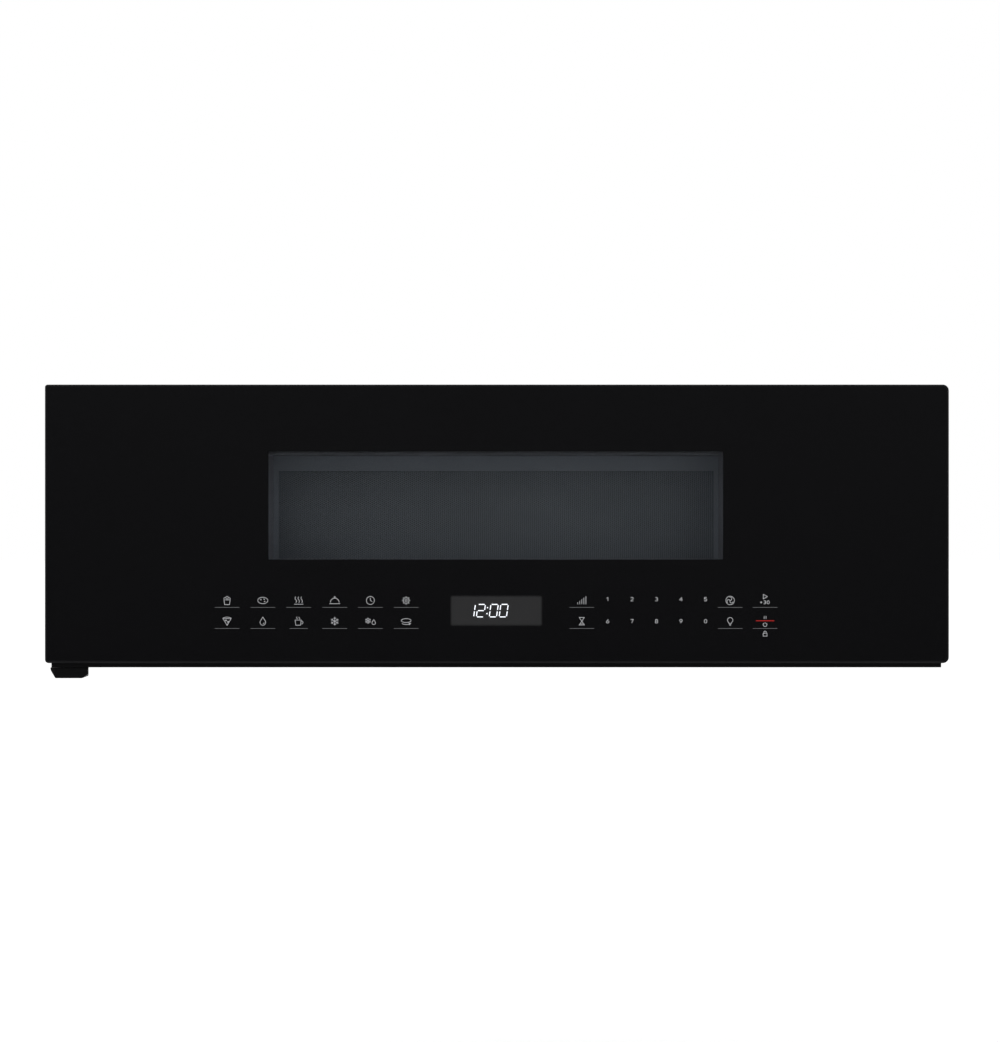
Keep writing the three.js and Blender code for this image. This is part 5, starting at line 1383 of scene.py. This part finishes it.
@dataclass
class Underside:
    """The grease filters with their expanded mesh, and the cooktop lamps."""

    shop: Workshop
    filter_x: float = 200.0
    filter_y: float = -232.0
    reach: tuple[float, float] = (93.5, 57.5)
    mesh_z: float = -115.3
    strand_pitch: float = 2.6
    wave: float = 5.2
    rise: float = 0.25
    strand: tuple[float, float] = (0.35, 0.2)

    def build(self) -> None:
        """Makes both filters and both lamps."""
        for side in Side:
            word = side.name.lower()
            self.shop.refined(f"grease_filter_{word}", [Look.aluminium], bevel=0.4)
            self.mesh(side)
            self.shop.refined(f"cooktop_lamp_{word}", [Look.lens_white, Look.led], [Zone.lamp_chip],
                              bevel=0.1)
            self.shop.refined(f"lamp_lens_{word}", [Look.lens_glass], bevel=0.4)

    def mesh(self, side: Side) -> bpy.types.Object:
        """Expanded aluminium: strand k is y = (k + 1/2) p + (-1)^k p/2 cos(2 pi x / w), with a wave in z.

        The strands meet their neighbours at the turns of their waves, which gives diamonds.
        """
        middle = side.value * self.filter_x
        x = np.arange(middle - self.reach[0], middle + self.reach[0], self.wave / 6)
        first, last = self.filter_y - self.reach[1], self.filter_y + self.reach[1]
        k = np.arange(round((last - first) / self.strand_pitch))[:, None]
        phase = 2 * math.pi * (x[None, :] - middle) / self.wave
        sway = self.strand_pitch / 2 * np.where(k % 2, -1, 1) * np.cos(phase)
        y = first + (k + 0.5) * self.strand_pitch + sway
        z = self.mesh_z + self.rise * np.sin(phase)
        line = np.stack([np.broadcast_to(x, y.shape), y, np.broadcast_to(z, y.shape)], axis=-1)
        half, deep = self.strand
        corners = np.array([[-half, -deep], [half, -deep], [half, deep], [-half, deep]])
        skin = line[:, :, None, :] + np.stack([0 * corners[:, 0], corners[:, 0], corners[:, 1]], axis=1)
        strands = [grid(strand, wrap_v=True) for strand in skin]
        ends = [cap(strand[end]) for strand in skin for end in (0, -1)]
        return self.shop.piece(f"filter_mesh_{side.name.lower()}", together(strands + ends),
                               f"grease_filter_{side.name.lower()}", [Look.aluminium], "aluminium")


# ------------------------------------------------------------------ blower, fan and component bay


@dataclass
class Inside:
    """The blower, the cooling fan and the parts of the component bay."""

    shop: Workshop

    def build(self) -> None:
        """Makes every piece inside the case."""
        for side in ("left", "right"):
            self.shop.refined(f"blower_housing_{side}", [Look.galvanised], bevel=0.4, angle=50)
            self.shop.refined(f"blower_wheel_{side}", [Look.black_plastic], bevel=0)
        self.shop.refined("blower_motor", [Look.bare_steel, Look.galvanised], [Zone.blower_can], bevel=0.5)
        self.shop.refined("blower_shaft", [Look.bare_steel], bevel=0, angle=60)
        self.shop.refined("cooling_fan_wheel", [Look.black_plastic], bevel=0.2)
        self.shop.refined("cooling_fan_motor", [Look.laminations, Look.copper], [Zone.fan_winding], bevel=0.4)
        self.shop.refined("cooling_fan_duct", [Look.black_plastic], bevel=0.4)
        self.shop.refined("magnetron", [Look.galvanised, Look.aluminium], [Zone.magnetron_fins], bevel=0.2)
        self.shop.refined("high_voltage_transformer", [Look.laminations, Look.copper],
                          [Zone.front_winding, Zone.rear_winding], bevel=0.5)
        self.shop.refined("high_voltage_capacitor", [Look.aluminium], bevel=0)
        self.shop.refined("high_voltage_diode", [Look.black_plastic, Look.bare_steel], [Zone.diode_lead],
                          bevel=0.3)
        self.shop.refined("noise_filter_board", [Look.board, Look.copper], [Zone.choke_coil], bevel=0.2)
        self.shop.refined("power_board_tray", [Look.white_plastic], bevel=0.3)
        self.shop.refined("power_board", [Look.board, Look.black_plastic], [Zone.board_parts], bevel=0.2)


# ------------------------------------------------------------------ studio


@dataclass(frozen=True)
class SoftLamp:
    """A square soft lamp: where it stands, what it faces, its side and its power in watts."""

    name: str
    place: tuple[float, float, float]
    target: tuple[float, float, float]
    size: float
    power: float

    def light(self) -> None:
        """Hangs the lamp in the scene."""
        data = bpy.data.lights.new(self.name, "AREA")
        data.size, data.energy = self.size, self.power
        lamp = bpy.data.objects.new(self.name, data)
        lamp.location = self.place
        facing = Vector(self.target) - Vector(self.place)
        lamp.rotation_euler = facing.to_track_quat("-Z", "Y").to_euler()
        bpy.context.scene.collection.objects.link(lamp)


@dataclass
class Studio:
    """The camera, the lamps, the pale floor and the white surroundings, in metres."""

    centre: tuple[float, float] = (0.0026, 0.0046)
    distance: float = 1.72
    glass: float = -0.464
    height_in_view: float = 0.8738
    floor_z: float = -0.62
    daylight: float = 0.45
    # the floor's glow rises from the first to the second strength between these distances from the case:
    # painted shade that keeps the floor darker near it
    lift_reach: tuple[float, float] = (0.9, 2.8)
    lift: tuple[float, float] = (0.35, 0.66)
    floor_half_mm: float = 30000.0
    card_y: float = -2.75
    card_half: float = 3.0
    card_heights: tuple[float, float] = (-0.5, 0.5)
    card_glow: tuple[float, float] = (0.03, 0.09)
    lamps: tuple[SoftLamp, ...] = (
        SoftLamp("key_lamp", (-1.7, -2.2, 2.0), (0, -0.3, 0), 2.4, 26),
        SoftLamp("fill_lamp", (2.0, -1.8, 1.2), (0, -0.3, 0), 2.2, 16),
        SoftLamp("top_lamp", (0.1, -0.4, 2.3), (0, -0.25, 0), 2.6, 16),
        SoftLamp("rear_lamp", (-0.6, 2.3, 1.4), (0, 0, 0), 2.4, 15),
    )

    def build(self) -> None:
        """Makes the studio."""
        scene = bpy.context.scene
        scene.view_settings.view_transform = "Standard"
        self._camera(scene)
        for lamp in self.lamps:
            lamp.light()
        self._world(scene)
        self._floor()
        self._dark_card()

    def _camera(self, scene: bpy.types.Scene) -> None:
        """Square on to the front, its lens set so that the picture's long side spans the given height."""
        data = bpy.data.cameras.new("camera")
        data.sensor_width = 36.0
        data.lens = data.sensor_width * self.distance / self.height_in_view
        camera = bpy.data.objects.new("camera", data)
        camera.location = (self.centre[0], self.glass - self.distance, self.centre[1])
        camera.rotation_euler = (math.pi / 2, 0, 0)
        scene.collection.objects.link(camera)
        scene.camera = camera

    def _world(self, scene: bpy.types.Scene) -> None:
        """White to the camera, to reflections and through glass, and an even soft daylight to the rest."""
        world = bpy.data.worlds.new("surroundings")
        world.use_nodes = True
        tree = Tree(world.node_tree)
        rays = tree.node("LightPath")
        bent = tree.math("MAXIMUM", rays.outputs["Is Glossy Ray"], rays.outputs["Is Transmission Ray"])
        seen = tree.math("MAXIMUM", rays.outputs["Is Camera Ray"], bent)
        strength = tree.ramp(seen, 0.0, 1.0, self.daylight, 1.0)
        tree.feed(world.node_tree.nodes["Background"], {"Color": WHITE, "Strength": strength})
        scene.world = world

    def _floor(self) -> None:
        """A wide pale floor below the hung case, darker in its real shadow, whose glow to the camera and in
        reflections rises with distance from the case: a painted shade near the case and white far off.

        It faces up and is clear from below, so that the underside can be seen.
        """
        half = self.floor_half_mm
        outline = rounded((-half, -half), (half, half), 200, 4)
        mesh = bpy.data.meshes.new("floor")
        points = on_level(outline, self.floor_z / MM)
        mesh.from_pydata((points * MM).tolist(), [], [list(range(len(points)))])
        floor = bpy.data.objects.new("floor", mesh)
        bpy.context.scene.collection.objects.link(floor)
        material, tree, shader = new_material("floor")
        rays = tree.node("LightPath")
        seen = tree.math("MAXIMUM", rays.outputs["Is Camera Ray"], rays.outputs["Is Glossy Ray"])
        where = tree.node("TexCoord").outputs["Object"]
        away = tree.node("VectorMath", {0: where}, operation="LENGTH").outputs["Value"]
        # glow that rises with distance from the case: painted shade near it
        lift = tree.ramp(away, *self.lift_reach, *self.lift)
        tree.feed(shader, {"Base Color": (0.93, 0.93, 0.93, 1), "Roughness": 0.9, "Specular IOR Level": 0.0,
                           "Emission Color": WHITE, "Emission Strength": tree.math("MULTIPLY", seen, lift)})
        behind = tree.node("NewGeometry").outputs["Backfacing"]
        clear = tree.node("BsdfTransparent").outputs[0]
        below = tree.node("MixShader", {0: behind, 1: shader.outputs[0], 2: clear})
        tree.feed(material.node_tree.nodes["Material Output"], {"Surface": below.outputs[0]})
        mesh.materials.append(material)

    def _dark_card(self) -> None:
        """A dark card behind the camera, seen only in reflections, as the unlit end of a studio is.

        It shines faintly, more towards its top.
        """
        mesh = bpy.data.meshes.new("dark_card")
        y, half = self.card_y, self.card_half
        mesh.from_pydata([(-half, y, -half), (half, y, -half), (half, y, half), (-half, y, half)], [],
                         [(3, 2, 1, 0)])
        card = bpy.data.objects.new("dark_card", mesh)
        bpy.context.scene.collection.objects.link(card)
        material, tree, shader = new_material("dark_card")
        height = tree.node("SeparateXYZ", {0: tree.node("TexCoord").outputs["Object"]}).outputs[2]
        glow = tree.ramp(height, *self.card_heights, *self.card_glow)
        tree.feed(shader, {"Base Color": (0.0, 0.0, 0.0, 1), "Specular IOR Level": 0.0,
                           "Emission Color": WHITE, "Emission Strength": glow})
        mesh.materials.append(material)
        card.visible_camera = card.visible_diffuse = card.visible_shadow = card.visible_transmission = False


def main() -> None:
    """Builds the studio and every sub-assembly in order."""
    logging.basicConfig(level=logging.INFO, format="%(message)s")
    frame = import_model()
    Studio().build()
    shop = Workshop(frame)
    for part in (Door, Cabinet, Oven, Underside, Inside):
        part(shop).build()
        LOG.info("%s done", part.__name__)
    frame["nodes"]["latch_spring"].data.materials.clear()
    frame["nodes"]["latch_spring"].data.materials.append(Look.bare_steel.material())


if __name__ == "__main__":
    main()
